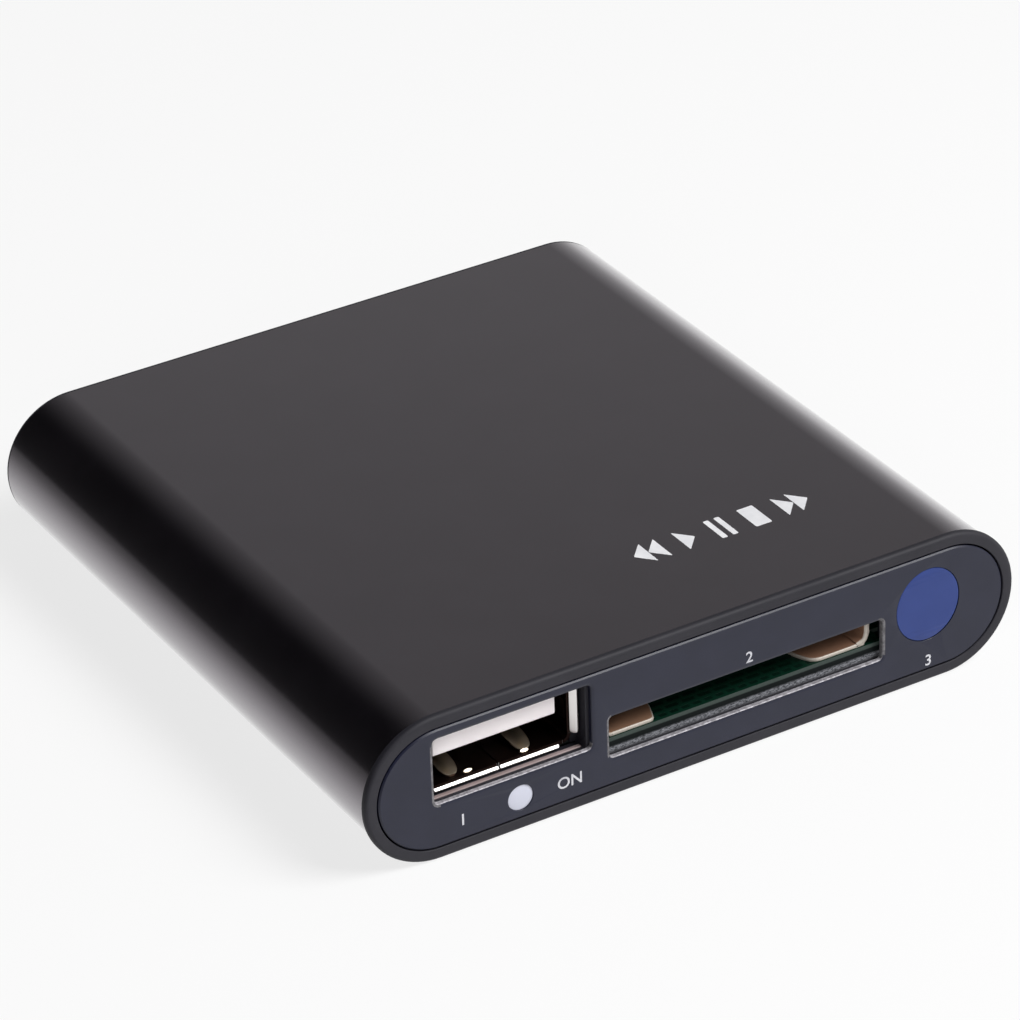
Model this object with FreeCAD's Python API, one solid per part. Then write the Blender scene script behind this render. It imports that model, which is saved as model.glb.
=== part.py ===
import FreeCAD, Part
import math
import os

# Pocket solid-state media player: an extruded aluminium sleeve closed by two
# moulded bezels with bonded plates, round a board that carries a USB host
# socket and a push-push memory card socket in front, and HDMI, AV and power
# sockets at the rear.  Millimetres.  x runs to the right seen from the front,
# y to the rear, z up; the origin is under the middle of the player, z = 0 is
# what it rests on.
#
# Places are written as (x, d, h): d is the depth behind the front face and
# h the height above the middle of the front face.

# ---- driving dimensions: housing
WIDTH, DEPTH, HEIGHT = 60.0, 61.0, 12.9
RIM_PROUD = 0.24          # how far the bezels stand out past the sleeve
RIM_THICK = 0.6           # bezel seen from the side
RIM_ROUND, ROUND_STEPS = 0.35, 2
RIM_BACK_SET = 0.05       # rim's face behind the plate's face
SLEEVE_WALL = 1.1
MOUTH_CHAMFER = 0.6       # inside edge of each sleeve end
PLATE_THICK = 0.5
PLATE_INSET = 1.19        # plate's outline inside the rim's outline
PLATE_GROOVE = 0.2
PLATE_CHAMFER = 0.18
WEB_BACK = 1.9            # back of the bezel's web
FIT_GAP = 0.06

# ---- driving dimensions: board, and what holds it
BOARD_TOP, BOARD_THICK = -1.6, 1.2
BOARD_BOTTOM = BOARD_TOP - BOARD_THICK
BOARD_HALF_WIDTH = 27.4
BOARD_INSET = 2.6         # board's edge behind each end of the player
GUIDE_REACH = 26.4        # x of the guide ribs' inner edge
GUIDE_THICK = 0.7
BOSS_X, BOSS_H, BOSS_RADIUS = 26.7, 1.6, 1.95
CHANNEL_RADIUS = 0.93     # corners of the eight-sided screw holes
SCREW_RADIUS, SCREW_HEAD_RADIUS, SCREW_LENGTH = 0.8, 1.5, 6.0
SCREW_HEAD_DEPTH = SCREW_HEAD_RADIUS - SCREW_RADIUS

# ---- driving dimensions: what the front plate shows
USB_X, USB_H = -17.4, 1.71
USB_WINDOW = (-24.12, -9.88, -1.45, 4.43)
USB_INNER_WIDTH, USB_INNER_HEIGHT, USB_WALL = 12.5, 5.12, 0.3
USB_MOUTH, USB_BACK = 1.2, 15.0
USB_LIP = 0.5
CARD_WINDOW = (-8.45, 17.55, -3.04, 0.86)
IR_X, IR_H, IR_RADIUS, IR_SEAT = 21.6, 0.79, 3.3, 1.0
LAMP_X, LAMP_H, LAMP_RADIUS = -16.43, -3.49, 1.14
LAMP_PIPE_BACK = 2.5

# ---- driving dimensions: card socket
SHEET = 0.3
SOCKET_FRONT, SOCKET_BACK = 0.95, 32.6
SOCKET_LEFT, SOCKET_RIGHT = -8.2, 16.7
DRIVE_FRONT, DRIVE_RIGHT = 7.5, 20.6   # the ejector's bay beside the card
CHANNEL_FLOOR = BOARD_TOP + SHEET
CHANNEL_ROOF = 1.0
ROOF_TOP = 1.6
SLIDER_LEFT, SLIDER_RIGHT = 16.9, 20.1
SLIDER_FRONT, SLIDER_BACK = 13.5, 25.9
SLIDER_BOTTOM, SLIDER_TOP = -1.2, 0.85
SLIDER_TRAVEL = 4.9
ARM_LEFT, ARM_THICK = 14.0, 1.6
CAM_PIN_X, CAM_PIN_PIVOT, CAM_PIN_TIP = 17.75, 10.8, 19.8
CAM_PIN_RADIUS, CAM_PIN_H = 0.2, 1.15
SPRING_X, SPRING_H = 18.5, -0.35
SPRING_RADIUS, SPRING_WIRE = 0.68, 0.12
SPRING_FRONT, SPRING_BACK = 20.8, 31.3
SPRING_TURNS, SPRING_STATIONS = 8, 6    # stations: sections of the wire in each turn
CONTACT_FIRST_X, CONTACT_PITCH, CONTACTS = -6.9, 2.5, 9

# ---- driving dimensions: rear sockets
HDMI_X, HDMI_H = 8.0, 1.4
AV_X, AV_H, AV_BORE = -8.0, 1.2, 1.8
HDMI_MOUTH, HDMI_BACK = DEPTH - 0.35, DEPTH - 11.3
HDMI_BLADE_H = HDMI_H + 0.35
POWER_X, POWER_H, POWER_BORE, POWER_PIN = -19.0, 1.4, 1.9, 0.65
NOSE_RADIUS = 2.8         # round noses of the AV and power jacks
JACK_MOUTH = DEPTH - 0.02
AV_BACK, POWER_BACK = JACK_MOUTH - 11.0, JACK_MOUTH - 10.0
AV_PLAIN_BORE = 4.6       # length of the bore in front of the sprung contacts

X_AXIS = FreeCAD.Vector(1, 0, 0)
Y_AXIS = FreeCAD.Vector(0, 1, 0)
Z_AXIS = FreeCAD.Vector(0, 0, 1)


# ---------------------------------------------------------------- helpers
def place(x, d, h):
    """The point x to the right, d behind the front face, h above mid-height."""
    return FreeCAD.Vector(x, d - DEPTH / 2, h + HEIGHT / 2)


def block(x0, x1, d0, d1, h0, h1):
    return Part.makeBox(x1 - x0, d1 - d0, h1 - h0, place(x0, d0, h0))


def rod(x, h, radius, d0, d1):
    """A round bar that runs from front to back."""
    return Part.makeCylinder(radius, d1 - d0, place(x, d0, h), Y_AXIS)


def post(x, d, radius, h0, h1):
    """A round bar that stands up."""
    return Part.makeCylinder(radius, h1 - h0, place(x, d, h0), Z_AXIS)


def cone(x, h, radius0, radius1, d0, d1):
    return Part.makeCone(radius0, radius1, d1 - d0, place(x, d0, h), Y_AXIS)


def fuse(shapes):
    shapes = list(shapes)
    return shapes[0].multiFuse(shapes[1:]).removeSplitter() if len(shapes) > 1 else shapes[0]


def prism(corners, direction):
    """The solid swept when the flat polygon of corners moves by direction."""
    return Part.Face(Part.makePolygon(corners + corners[:1])).extrude(direction)


def plan(points, h0, h1):
    """A polygon of (x, d) points, standing from h0 to h1."""
    return prism([place(x, d, h0) for x, d in points], Z_AXIS * (h1 - h0))


def front_profile(points, d0, d1):
    """A polygon of (x, h) points, running from d0 to d1."""
    return prism([place(x, d0, h) for x, h in points], Y_AXIS * (d1 - d0))


def side_profile(points, x0, x1):
    """A polygon of (d, h) points, running from x0 to x1."""
    return prism([place(x0, d, h) for d, h in points], X_AXIS * (x1 - x0))


def strip(points, thick):
    """A polygon of (a, b) points: the path with the given thickness to its left."""
    offset = []
    for i, (a, b) in enumerate(points):
        a0, b0 = points[max(i - 1, 0)]
        a1, b1 = points[min(i + 1, len(points) - 1)]
        run = math.hypot(a1 - a0, b1 - b0)
        offset.append((a - (b1 - b0) / run * thick, b + (a1 - a0) / run * thick))
    return points + offset[::-1]


def capsule_wire(inset, d):
    """The housing's outline, half-round at both ends, drawn in by inset."""
    radius = HEIGHT / 2 - inset
    half = WIDTH / 2 - HEIGHT / 2
    right = Part.Arc(place(half, d, -radius), place(half + radius, d, 0), place(half, d, radius))
    left = Part.Arc(place(-half, d, radius), place(-half - radius, d, 0), place(-half, d, -radius))
    top = Part.LineSegment(place(half, d, radius), place(-half, d, radius))
    bottom = Part.LineSegment(place(-half, d, -radius), place(half, d, -radius))
    return Part.Wire([edge.toShape() for edge in (bottom, right, top, left)])


def capsule(inset, d0, d1):
    return Part.Face(capsule_wire(inset, d0)).extrude(Y_AXIS * (d1 - d0))


def capsule_taper(inset0, inset1, d0, d1):
    return Part.makeLoft([capsule_wire(inset0, d0), capsule_wire(inset1, d1)], True, True)


def octagon(a, b, radius):
    """Eight (a, b) points round a pin, a hole or a boss."""
    turns = [math.pi / 4 * (i + 0.5) for i in range(8)]
    return [(a + radius * math.cos(turn), b + radius * math.sin(turn)) for turn in turns]


def edges_where(shape, test):
    return [edge for edge in shape.Edges if test(edge)]


def runs_along(edge, axis):
    """True for a straight edge parallel to axis."""
    if not isinstance(edge.Curve, Part.Line):
        return False
    return abs(abs(edge.Curve.Direction.dot(axis)) - 1) < 1e-6


def rounded_block(x0, x1, d0, d1, h0, h1, radius):
    """A block whose four front-to-back edges are rounded."""
    solid = block(x0, x1, d0, d1, h0, h1)
    return solid.makeFillet(radius, edges_where(solid, lambda e: runs_along(e, Y_AXIS)))


def at_depth(edge, d):
    """True if the whole edge lies d behind the front face."""
    box = edge.BoundBox
    y = place(0, d, 0).y
    return abs(box.YMin - y) < 1e-4 and abs(box.YMax - y) < 1e-4


def window(limits, d0, d1, radius=0.35, grow=0.0):
    """A block that cuts a window with rounded corners."""
    x0, x1, h0, h1 = limits
    return rounded_block(x0 - grow, x1 + grow, d0, d1, h0 - grow, h1 + grow, radius)


def from_rear(shape):
    """The same shape, turned half round the vertical axis, for the other end."""
    turned = shape.copy()
    turned.rotate(FreeCAD.Vector(0, 0, 0), Z_AXIS, 180)
    return turned


# ---------------------------------------------------------------- housing
def housing_sleeve():
    """Extruded tube with board guides and screw channels along its sides."""
    inner = RIM_PROUD + SLEEVE_WALL
    front, back = RIM_THICK, DEPTH - RIM_THICK
    tube = capsule(RIM_PROUD, front, back).cut(capsule(inner, front, back))
    web0, web1 = WEB_BACK + FIT_GAP, DEPTH - WEB_BACK - FIT_GAP
    inside = []
    for side in (-1, 1):
        x0, x1 = sorted((side * GUIDE_REACH, side * (WIDTH / 2 - 1)))
        inside.append(block(x0, x1, web0, web1, BOARD_BOTTOM - GUIDE_THICK, BOARD_BOTTOM))
        gap = BOARD_TOP + FIT_GAP
        inside.append(block(x0, x1, web0, web1, gap, gap + GUIDE_THICK))
        inside.append(front_profile(octagon(side * BOSS_X, BOSS_H, BOSS_RADIUS), web0, web1))
    inside = fuse(inside).common(capsule(RIM_PROUD + 0.2, web0, web1))
    sleeve = fuse([tube, inside])
    for side in (-1, 1):
        sleeve = sleeve.cut(front_profile(octagon(side * BOSS_X, BOSS_H, CHANNEL_RADIUS), 0, DEPTH))
    mouth = capsule_taper(inner - MOUTH_CHAMFER, inner, front, front + MOUTH_CHAMFER)
    return sleeve.cut(mouth).cut(from_rear(mouth))


def screw_seats():
    """Clearance holes through the rear bezel and plate, with cones for the heads."""
    gap = FIT_GAP / 2
    cuts = []
    for side in (-1, 1):
        x = side * BOSS_X
        cuts.append(front_profile(octagon(x, BOSS_H, CHANNEL_RADIUS), 0, WEB_BACK + 1))
        cuts.append(cone(x, BOSS_H, SCREW_HEAD_RADIUS + gap, SCREW_RADIUS + gap, 0, SCREW_HEAD_DEPTH))
    return cuts


def rounded_rim(tapers):
    """The rim, its front edge rounded in narrow tapers."""
    turns = [math.pi / 2 * i / tapers for i in range(tapers + 1)]
    steps = [(RIM_ROUND * (1 - math.sin(turn)), RIM_ROUND * (1 - math.cos(turn))) for turn in turns]
    rim = [capsule(0, RIM_BACK_SET + RIM_ROUND, RIM_THICK)]
    for (inset0, d0), (inset1, d1) in zip(steps, steps[1:]):
        rim.append(capsule_taper(inset0, inset1, RIM_BACK_SET + d0, RIM_BACK_SET + d1))
    return rim


def bezel_blank(tapers):
    """The moulded end frame both ends share: rim and web, with a seat for the plate."""
    web = capsule(RIM_PROUD + SLEEVE_WALL + FIT_GAP, RIM_THICK, WEB_BACK)
    return fuse(rounded_rim(tapers) + [web]).cut(capsule(PLATE_INSET - PLATE_GROOVE, -1, PLATE_THICK))


def plate_blank():
    """The plate both ends share."""
    return capsule(PLATE_INSET, 0, PLATE_THICK)


def locating_lips(ranges):
    """Lips behind the web that enter the sleeve along its flat walls."""
    bore = HEIGHT / 2 - RIM_PROUD - SLEEVE_WALL - FIT_GAP
    lips = []
    for x0, x1, side in ranges:
        h0, h1 = sorted((side * (bore - 0.7), side * bore))
        lip = block(x0, x1, WEB_BACK - 0.1, WEB_BACK + 1.8, h0, h1)
        tip = edges_where(lip, lambda e: at_depth(e, WEB_BACK + 1.8) and runs_along(e, X_AXIS))
        lips.append(lip.makeChamfer(0.25, tip))
    return lips


def front_bezel():
    """Front end frame, opened for both sockets, the infrared window and the light pipe."""
    lips = locating_lips([(-8.0, 22.0, 1), (-13.0, 22.0, -1)])
    bezel = fuse([bezel_blank(ROUND_STEPS)] + lips)
    x0, x1, h0, _ = USB_WINDOW
    cuts = [block(x0 - 0.6, x1 + 0.1, 0, 1.15, h0 - 0.3, 4.9)]
    cuts.append(block(x0 - 0.6, x1 + 0.1, 1.1, 4, h0 - 0.3, HEIGHT / 2))
    x0, x1, _, _ = CARD_WINDOW
    cuts.append(block(x0 - 0.4, x1 + 0.5, 0, 3, BOARD_BOTTOM - 0.3, ROOF_TOP + 0.3))
    cuts.append(front_profile(octagon(IR_X, IR_H, IR_RADIUS - 0.5), 0, 3))
    cuts.append(rod(IR_X, IR_H, IR_RADIUS, 0, IR_SEAT))
    half = LAMP_RADIUS + 0.04
    cuts.append(block(LAMP_X - half, LAMP_X + half, 0, 3, LAMP_H - half, LAMP_H + half))
    return bezel.cut(cuts)


def front_plate():
    """Front plate, its edge broken by a narrow chamfer, with windows for both sockets, filter and lamp."""
    plate = plate_blank()
    plate = plate.makeChamfer(PLATE_CHAMFER, edges_where(plate, lambda e: at_depth(e, 0)))
    cuts = [window(USB_WINDOW, -1, 2), window(CARD_WINDOW, -1, 2, 0.25)]
    cuts.append(rod(IR_X, IR_H, IR_RADIUS, -1, 2))
    cuts.append(rod(LAMP_X, LAMP_H, LAMP_RADIUS, -1, 2))
    return plate.cut(cuts)


def rear_screws():
    """Two countersunk screws, heads level with the rear plate."""
    made = []
    for side in (-1, 1):
        x = side * BOSS_X
        head = cone(x, BOSS_H, SCREW_HEAD_RADIUS, SCREW_RADIUS, 0, SCREW_HEAD_DEPTH)
        shank = front_profile(octagon(x, BOSS_H, SCREW_RADIUS), SCREW_HEAD_DEPTH - 0.1, SCREW_LENGTH)
        made.append(fuse([head, shank]))
    return from_rear(Part.makeCompound(made))


def ir_window():
    """Blue filter disc, level with the plate and seated in the bezel."""
    return rod(IR_X, IR_H, IR_RADIUS - 0.03, 0.04, IR_SEAT)


def lamp_light_pipe():
    """Clear pin from the lamp under the board to the plate."""
    return rod(LAMP_X, LAMP_H, LAMP_RADIUS - 0.02, 0.02, LAMP_PIPE_BACK)


def jack_places():
    return (AV_X, AV_H), (POWER_X, POWER_H)


def rear_bezel():
    """Rear end frame, with a square-cornered opening round each socket."""
    lips = locating_lips([(-22.0, 22.0, 1), (-22.0, 22.0, -1)])
    bezel = fuse([bezel_blank(1)] + lips).cut(screw_seats())
    half = NOSE_RADIUS + 0.25
    cuts = [front_profile(hdmi_outline(0.65), DEPTH - 6, DEPTH + 1)]
    for x, h in jack_places():
        cuts.append(block(x - half, x + half, DEPTH - 6, DEPTH + 1, h - half, h + half))
    return from_rear(bezel).cut(cuts)


def rear_plate():
    """Rear plate with an opening for each socket and countersunk screw holes."""
    cuts = [front_profile(hdmi_outline(0.45), DEPTH - 6, DEPTH + 1)]
    cuts += [rod(x, h, NOSE_RADIUS + 0.1, DEPTH - 6, DEPTH + 1) for x, h in jack_places()]
    return from_rear(plate_blank().cut(screw_seats())).cut(cuts)


# ---------------------------------------------------------------- board
def board_slots():
    """Slots and holes for the legs and pins that pass through the board."""
    cuts = [block(x0, x1, d0, d1, BOARD_BOTTOM - 1, BOARD_TOP + 1) for x0, x1, d0, d1 in usb_legs(0.1)]
    cuts += [plan(octagon(x, 13.75, 0.5), BOARD_BOTTOM - 1, BOARD_TOP + 1) for x in usb_pin_places()]
    cuts += [block(x0, x1, d0, d1, BOARD_BOTTOM - 1, BOARD_TOP + 1) for x0, x1, d0, d1 in hdmi_legs(0.1)]
    return cuts


def main_board():
    """Board with a tongue that reaches through the front bezel at the card slot."""
    x0, x1, _, _ = CARD_WINDOW
    half, front, back = BOARD_HALF_WIDTH, BOARD_INSET, DEPTH - BOARD_INSET
    left, right, tongue = x0 - 0.1, x1 + 0.2, SOCKET_FRONT - 0.1
    outline = [(-half, front), (left, front), (left, tongue), (right, tongue), (right, front)]
    outline += [(half, front), (half, back), (-half, back)]
    return plan(outline, BOARD_BOTTOM, BOARD_TOP).cut(board_slots())


def insulating_sheet():
    """Film on the sleeve's floor that keeps it off the board's solder side."""
    floor = RIM_PROUD + SLEEVE_WALL - HEIGHT / 2
    sheet = block(-23.0, 23.0, 4.5, DEPTH - 4.5, floor, floor + 0.2)
    return sheet.makeFillet(1.5, edges_where(sheet, lambda e: runs_along(e, Z_AXIS)))


def chip(x, d, width, length, height, bevel=0.25):
    """A flat package standing on the board, centred on (x, d), with bevelled top edges."""
    body = block(x - width / 2, x + width / 2, d - length / 2, d + length / 2, BOARD_TOP, BOARD_TOP + height)
    top = BOARD_TOP + height + HEIGHT / 2
    return body.makeChamfer(bevel, edges_where(body, lambda e: e.BoundBox.ZMin > top - 1e-4))


PROCESSOR_X, PROCESSOR_D, PROCESSOR_HEIGHT = -17.5, 25.5, 1.3


def video_processor():
    return chip(PROCESSOR_X, PROCESSOR_D, 14.0, 14.0, PROCESSOR_HEIGHT)


def heat_sink():
    """Finned block bonded to the processor."""
    side, fin, count = 13.0, 0.8, 7
    left, front = PROCESSOR_X - side / 2, PROCESSOR_D - side / 2
    base = BOARD_TOP + PROCESSOR_HEIGHT
    fins = [block(left, left + side, front, front + side, base, base + 1.2)]
    for i in range(count):
        x = left + i * (side - fin) / (count - 1)
        fins.append(block(x, x + fin, front, front + side, base + 1.2, base + 4.6))
    return fuse(fins)


def memory_chips():
    return Part.makeCompound([chip(x, 41.0, 8.0, 10.5, 1.1) for x in (-3.0, 7.0)])


FLASH_X, FLASH_D = 17.5, 39.5


def flash_chip():
    return chip(FLASH_X, FLASH_D, 4.0, 5.0, 1.5)


def gull_wing(x, d, side):
    """One formed lead, from the package side down to the board, along x."""
    path = [(x, 0.75), (x + side * 0.35, 0.75), (x + side * 0.55, 0.15), (x + side * 1.0, 0.15)]
    outline = path + [(a, b - 0.15) for a, b in reversed(path)]
    return front_profile([(a, b + BOARD_TOP) for a, b in outline], d - 0.2, d + 0.2)


def flash_leads():
    leads = []
    for i in range(4):
        d = FLASH_D + (i - 1.5) * 1.27
        leads += [gull_wing(FLASH_X + side * 2.0, d, side) for side in (-1, 1)]
    return Part.makeCompound(leads)


def oval_can(x, d, half, radius, h0, h1):
    """An upright can with half-round ends, centred on (x, d)."""
    middle = block(x - half, x + half, d - radius, d + radius, h0, h1)
    return fuse([middle] + [post(x + side * half, d, radius, h0, h1) for side in (-1, 1)])


def clock_crystal():
    """Low oval metal can."""
    return oval_can(-14.0, 37.0, 3.2, 1.85, BOARD_TOP, BOARD_TOP + 3.4)


def power_inductors():
    """Two shielded power chokes with cut corners."""
    made = []
    for x, d in ((-22.1, 36.0), (-22.1, 42.0)):
        body = block(x - 2.5, x + 2.5, d - 2.5, d + 2.5, BOARD_TOP, BOARD_TOP + 3.0)
        made.append(body.makeChamfer(0.9, edges_where(body, lambda e: runs_along(e, Z_AXIS))))
    return Part.makeCompound(made)


CAPACITORS = ((22.75, 15.0), (22.75, 24.0))
CAN_RADIUS = 1.9


def capacitor_cans():
    cans = [post(x, d, CAN_RADIUS, BOARD_TOP + 0.4, BOARD_TOP + 5.2) for x, d in CAPACITORS]
    return Part.makeCompound(cans)


def capacitor_bases():
    bases = []
    for x, d in CAPACITORS:
        half = CAN_RADIUS + 0.1
        base = block(x - half, x + half, d - half, d + half, BOARD_TOP, BOARD_TOP + 0.4)
        cut = edges_where(base, lambda e: runs_along(e, Z_AXIS) and e.BoundBox.YMin < d - DEPTH / 2)
        bases.append(base.makeChamfer(0.8, cut))
    return Part.makeCompound(bases)


REGULATORS = ((-13.0, 45.0), (18.5, 47.5))


def voltage_regulators():
    return Part.makeCompound([chip(x, d, 6.5, 3.5, 1.6) for x, d in REGULATORS])


def regulator_leads():
    """Three narrow leads towards the front and a wide one towards the rear of each package."""
    leads = []
    for x, d in REGULATORS:
        for step in (-2.3, 0, 2.3):
            a = x + step
            leads.append(block(a - 0.35, a + 0.35, d - 3.4, d - 1.75, BOARD_TOP, BOARD_TOP + 0.25))
        leads.append(block(x - 1.5, x + 1.5, d + 1.75, d + 3.4, BOARD_TOP, BOARD_TOP + 0.25))
    return Part.makeCompound(leads)


def small_passives():
    """Chip resistors and capacitors in rows between the larger packages."""
    rows = ((-26.0, 18.0, 0, 2.8, 6), (-9.4, 18.0, 0, 2.8, 6), (-8.0, 34.9, 2.6, 0, 8))
    rows += ((22.8, 36.0, 0, 2.6, 4), (25.0, 36.0, 0, 2.6, 4))
    made = []
    for x, d, step_x, step_d, count in rows:
        for i in range(count):
            a, b = x + i * step_x, d + i * step_d
            made.append(block(a - 0.4, a + 0.4, b - 0.7, b + 0.7, BOARD_TOP, BOARD_TOP + 0.6))
    return Part.makeCompound(made)


def power_led():
    """Side-looking lamp under the board, facing the light pipe."""
    face = BOARD_INSET + 0.4
    body = block(LAMP_X - 1.5, LAMP_X + 1.5, face, face + 1.3, LAMP_H - 0.55, BOARD_BOTTOM)
    eye = block(LAMP_X - 0.8, LAMP_X + 0.8, face - 0.35, face, LAMP_H - 0.4, LAMP_H + 0.5)
    tip = edges_where(eye, lambda e: at_depth(e, face - 0.35))
    return fuse([body, eye.makeChamfer(0.2, tip)])


def ir_receiver_body():
    """Three-lead receiver: a block with a half-round lens towards the window."""
    body = block(IR_X - 2.7, IR_X + 2.7, 4.3, 7.0, BOARD_TOP + 0.5, BOARD_TOP + 5.8)
    upright = edges_where(body, lambda e: runs_along(e, Z_AXIS))
    body = body.makeChamfer(0.4, upright)
    lens = post(IR_X, 4.6, 1.9, IR_H - 1.9, IR_H + 1.9)
    return fuse([body, lens.common(block(IR_X - 2, IR_X + 2, 2.5, 4.8, IR_H - 2, IR_H + 2))])


def ir_receiver_leads():
    leads = []
    for step in (-1.6, 0, 1.6):
        x = IR_X + step
        path = [(6.0, 0.5), (6.0, 0.2), (7.4, 0.2), (7.4, 0.0), (5.6, 0.0), (5.6, 0.5)]
        leads.append(side_profile([(d, h + BOARD_TOP) for d, h in path], x - 0.25, x + 0.25))
    return Part.makeCompound(leads)


# ---------------------------------------------------------------- USB socket
def usb_box(grow, d0, d1, radius):
    half_w = USB_INNER_WIDTH / 2 + grow
    half_h = USB_INNER_HEIGHT / 2 + grow
    return rounded_block(USB_X - half_w, USB_X + half_w, d0, d1, USB_H - half_h, USB_H + half_h, radius)


def usb_legs(grow):
    """Plan limits of the shell's legs: two on each side."""
    legs = []
    for d in (5.4, 11.6):
        for side in (-1, 1):
            x = USB_X + side * (USB_INNER_WIDTH / 2 + USB_WALL / 2)
            legs.append((x - USB_WALL / 2 - grow, x + USB_WALL / 2 + grow, d - 0.75 - grow, d + 0.75 + grow))
    return legs


def usb_pin_places():
    return [USB_X + step for step in (-3.5, -1.0, 1.0, 3.5)]


def spring_path(rise):
    """A contact spring seen from the side, its wall at height zero: (d, height)."""
    return [(9.6, 0.0), (5.2, rise * 0.8), (4.5, rise), (3.9, rise), (2.3, rise * 0.25), (1.95, rise * 0.12)]


def usb_flat_spring(x, wall, side, rise, width=1.7):
    """Spring in the bottom (side 1) or top (side -1) wall."""
    path = [(d, wall + side * h) for d, h in spring_path(rise)]
    outline = strip(path, 0.22 * side)
    return side_profile(outline, x - width / 2, x + width / 2)


def usb_side_spring(wall, side, rise):
    """Spring in the left (side 1) or right (side -1) wall."""
    path = [(wall + side * h, d) for d, h in spring_path(rise)]
    return plan(strip(path, 0.22 * side), USB_H - 0.9, USB_H + 0.9)


def usb_lip(side):
    """Flared lip along the bottom (side -1) or top (side 1) edge of the mouth."""
    edge = USB_H + side * USB_INNER_HEIGHT / 2
    path = [(USB_MOUTH + 0.25, edge), (USB_MOUTH, edge + side * 0.03)]
    path += [(USB_MOUTH - 0.2, edge + side * 0.14), (USB_MOUTH - 0.36, edge + side * 0.32)]
    path += [(USB_MOUTH - 0.45, edge + side * USB_LIP)]
    outline = strip(path, USB_WALL * 0.8 * side * -1)
    lip = side_profile(outline, USB_X - 5.6, USB_X + 5.6)
    if side < 0:
        seam = block(USB_X - 0.06, USB_X + 0.06, 0, USB_MOUTH + 0.3, edge - 2, edge + 1)
        lip = lip.cut(seam)
    return lip


def usb_side_lip(side):
    """Flared lip on the left (side -1) or right (side 1) edge of the mouth."""
    edge = USB_X + side * USB_INNER_WIDTH / 2
    path = [(edge, USB_MOUTH + 0.25), (edge + side * 0.03, USB_MOUTH)]
    path += [(edge + side * 0.16, USB_MOUTH - 0.2), (edge + side * 0.34, USB_MOUTH - 0.36)]
    path += [(edge + side * (USB_LIP + 0.08), USB_MOUTH - 0.45)]
    return plan(strip(path, USB_WALL * 0.8 * side), USB_H - 1.7, USB_H + 2.1)


def usb_shell():
    """Folded shell: flared mouth, six contact springs in slots, legs and a seam."""
    outer = usb_box(USB_WALL, USB_MOUTH, USB_BACK, 0.7)
    shell = outer.cut(usb_box(0, USB_MOUTH - 1, USB_BACK - USB_WALL, 0.4))
    floor = USB_H - USB_INNER_HEIGHT / 2
    roof = USB_H + USB_INNER_HEIGHT / 2
    cuts, adds = [], []
    for step in (-3.05, 3.05):
        x = USB_X + step
        cuts.append(block(x - 1.15, x + 1.15, 1.8, 9.4, floor - 1, floor + 0.1))
        cuts.append(block(x - 1.15, x + 1.15, 1.8, 9.4, roof - 0.1, roof + 1))
        adds.append(usb_flat_spring(x, floor - 0.22, 1, 0.95))
        adds.append(usb_flat_spring(x, roof + 0.22, -1, 0.6))
    for side in (-1, 1):
        wall = USB_X + side * USB_INNER_WIDTH / 2
        x0, x1 = sorted((wall - side * 0.1, wall + side * 1))
        cuts.append(block(x0, x1, 1.8, 9.4, USB_H - 1.2, USB_H + 1.2))
        adds.append(usb_side_spring(wall + side * 0.22, -side, 0.6))
    cuts.append(block(USB_X - 0.05, USB_X + 0.05, 0, 10.5, floor - 1, floor + 0.1))
    cuts.append(block(USB_X - 4.3, USB_X + 4.3, 12.6, 14.5, floor - 1, floor + 0.1))
    shell = shell.cut(cuts)
    adds += [usb_lip(-1), usb_lip(1), usb_side_lip(-1), usb_side_lip(1)]
    for x0, x1, d0, d1 in usb_legs(0):
        adds.append(block(x0, x1, d0, d1, BOARD_BOTTOM - 0.5, USB_H))
    return fuse([shell] + adds)


def usb_contact(x):
    """One contact: along the tongue, back through the body, down to the board."""
    tongue = USB_H + 0.12
    path = [(2.9, tongue + 0.28), (3.2, tongue), (13.85, tongue), (13.85, BOARD_BOTTOM - 0.6)]
    path += [(13.65, BOARD_BOTTOM - 0.6), (13.65, tongue - 0.2), (3.1, tongue - 0.2), (2.75, tongue + 0.12)]
    return side_profile(path, x - 0.5, x + 0.5).common(usb_contact_room())


def usb_contact_room():
    """Wide along the tongue, narrow as a pin once it points down."""
    wide = block(USB_X - 6, USB_X + 6, 0, 15, USB_H - 0.5, USB_H + 2)
    pins = [block(x - 0.3, x + 0.3, 12, 15, BOARD_BOTTOM - 2, USB_H) for x in usb_pin_places()]
    return fuse([wide] + pins)


def usb_contacts():
    return Part.makeCompound([usb_contact(x) for x in usb_pin_places()])


def usb_insulator():
    """White tongue on a rear block, with a channel for each contact."""
    half_w, half_h = USB_INNER_WIDTH / 2 - 0.04, USB_INNER_HEIGHT / 2 - 0.04
    back = USB_BACK - USB_WALL - 0.02
    rear = block(USB_X - half_w, USB_X + half_w, 11.2, back, USB_H - half_h, USB_H + half_h)
    rear = rear.makeChamfer(0.3, edges_where(rear, lambda e: runs_along(e, Y_AXIS)))
    tongue = block(USB_X - 5.55, USB_X + 5.55, 1.9, 11.3, USB_H + 0.12, USB_H + 1.96)
    nose = edges_where(tongue, lambda e: at_depth(e, 1.9) and runs_along(e, X_AXIS))
    tongue = tongue.makeChamfer(0.3, nose)
    return fuse([rear, tongue]).cut([usb_contact(x) for x in usb_pin_places()])


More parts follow.
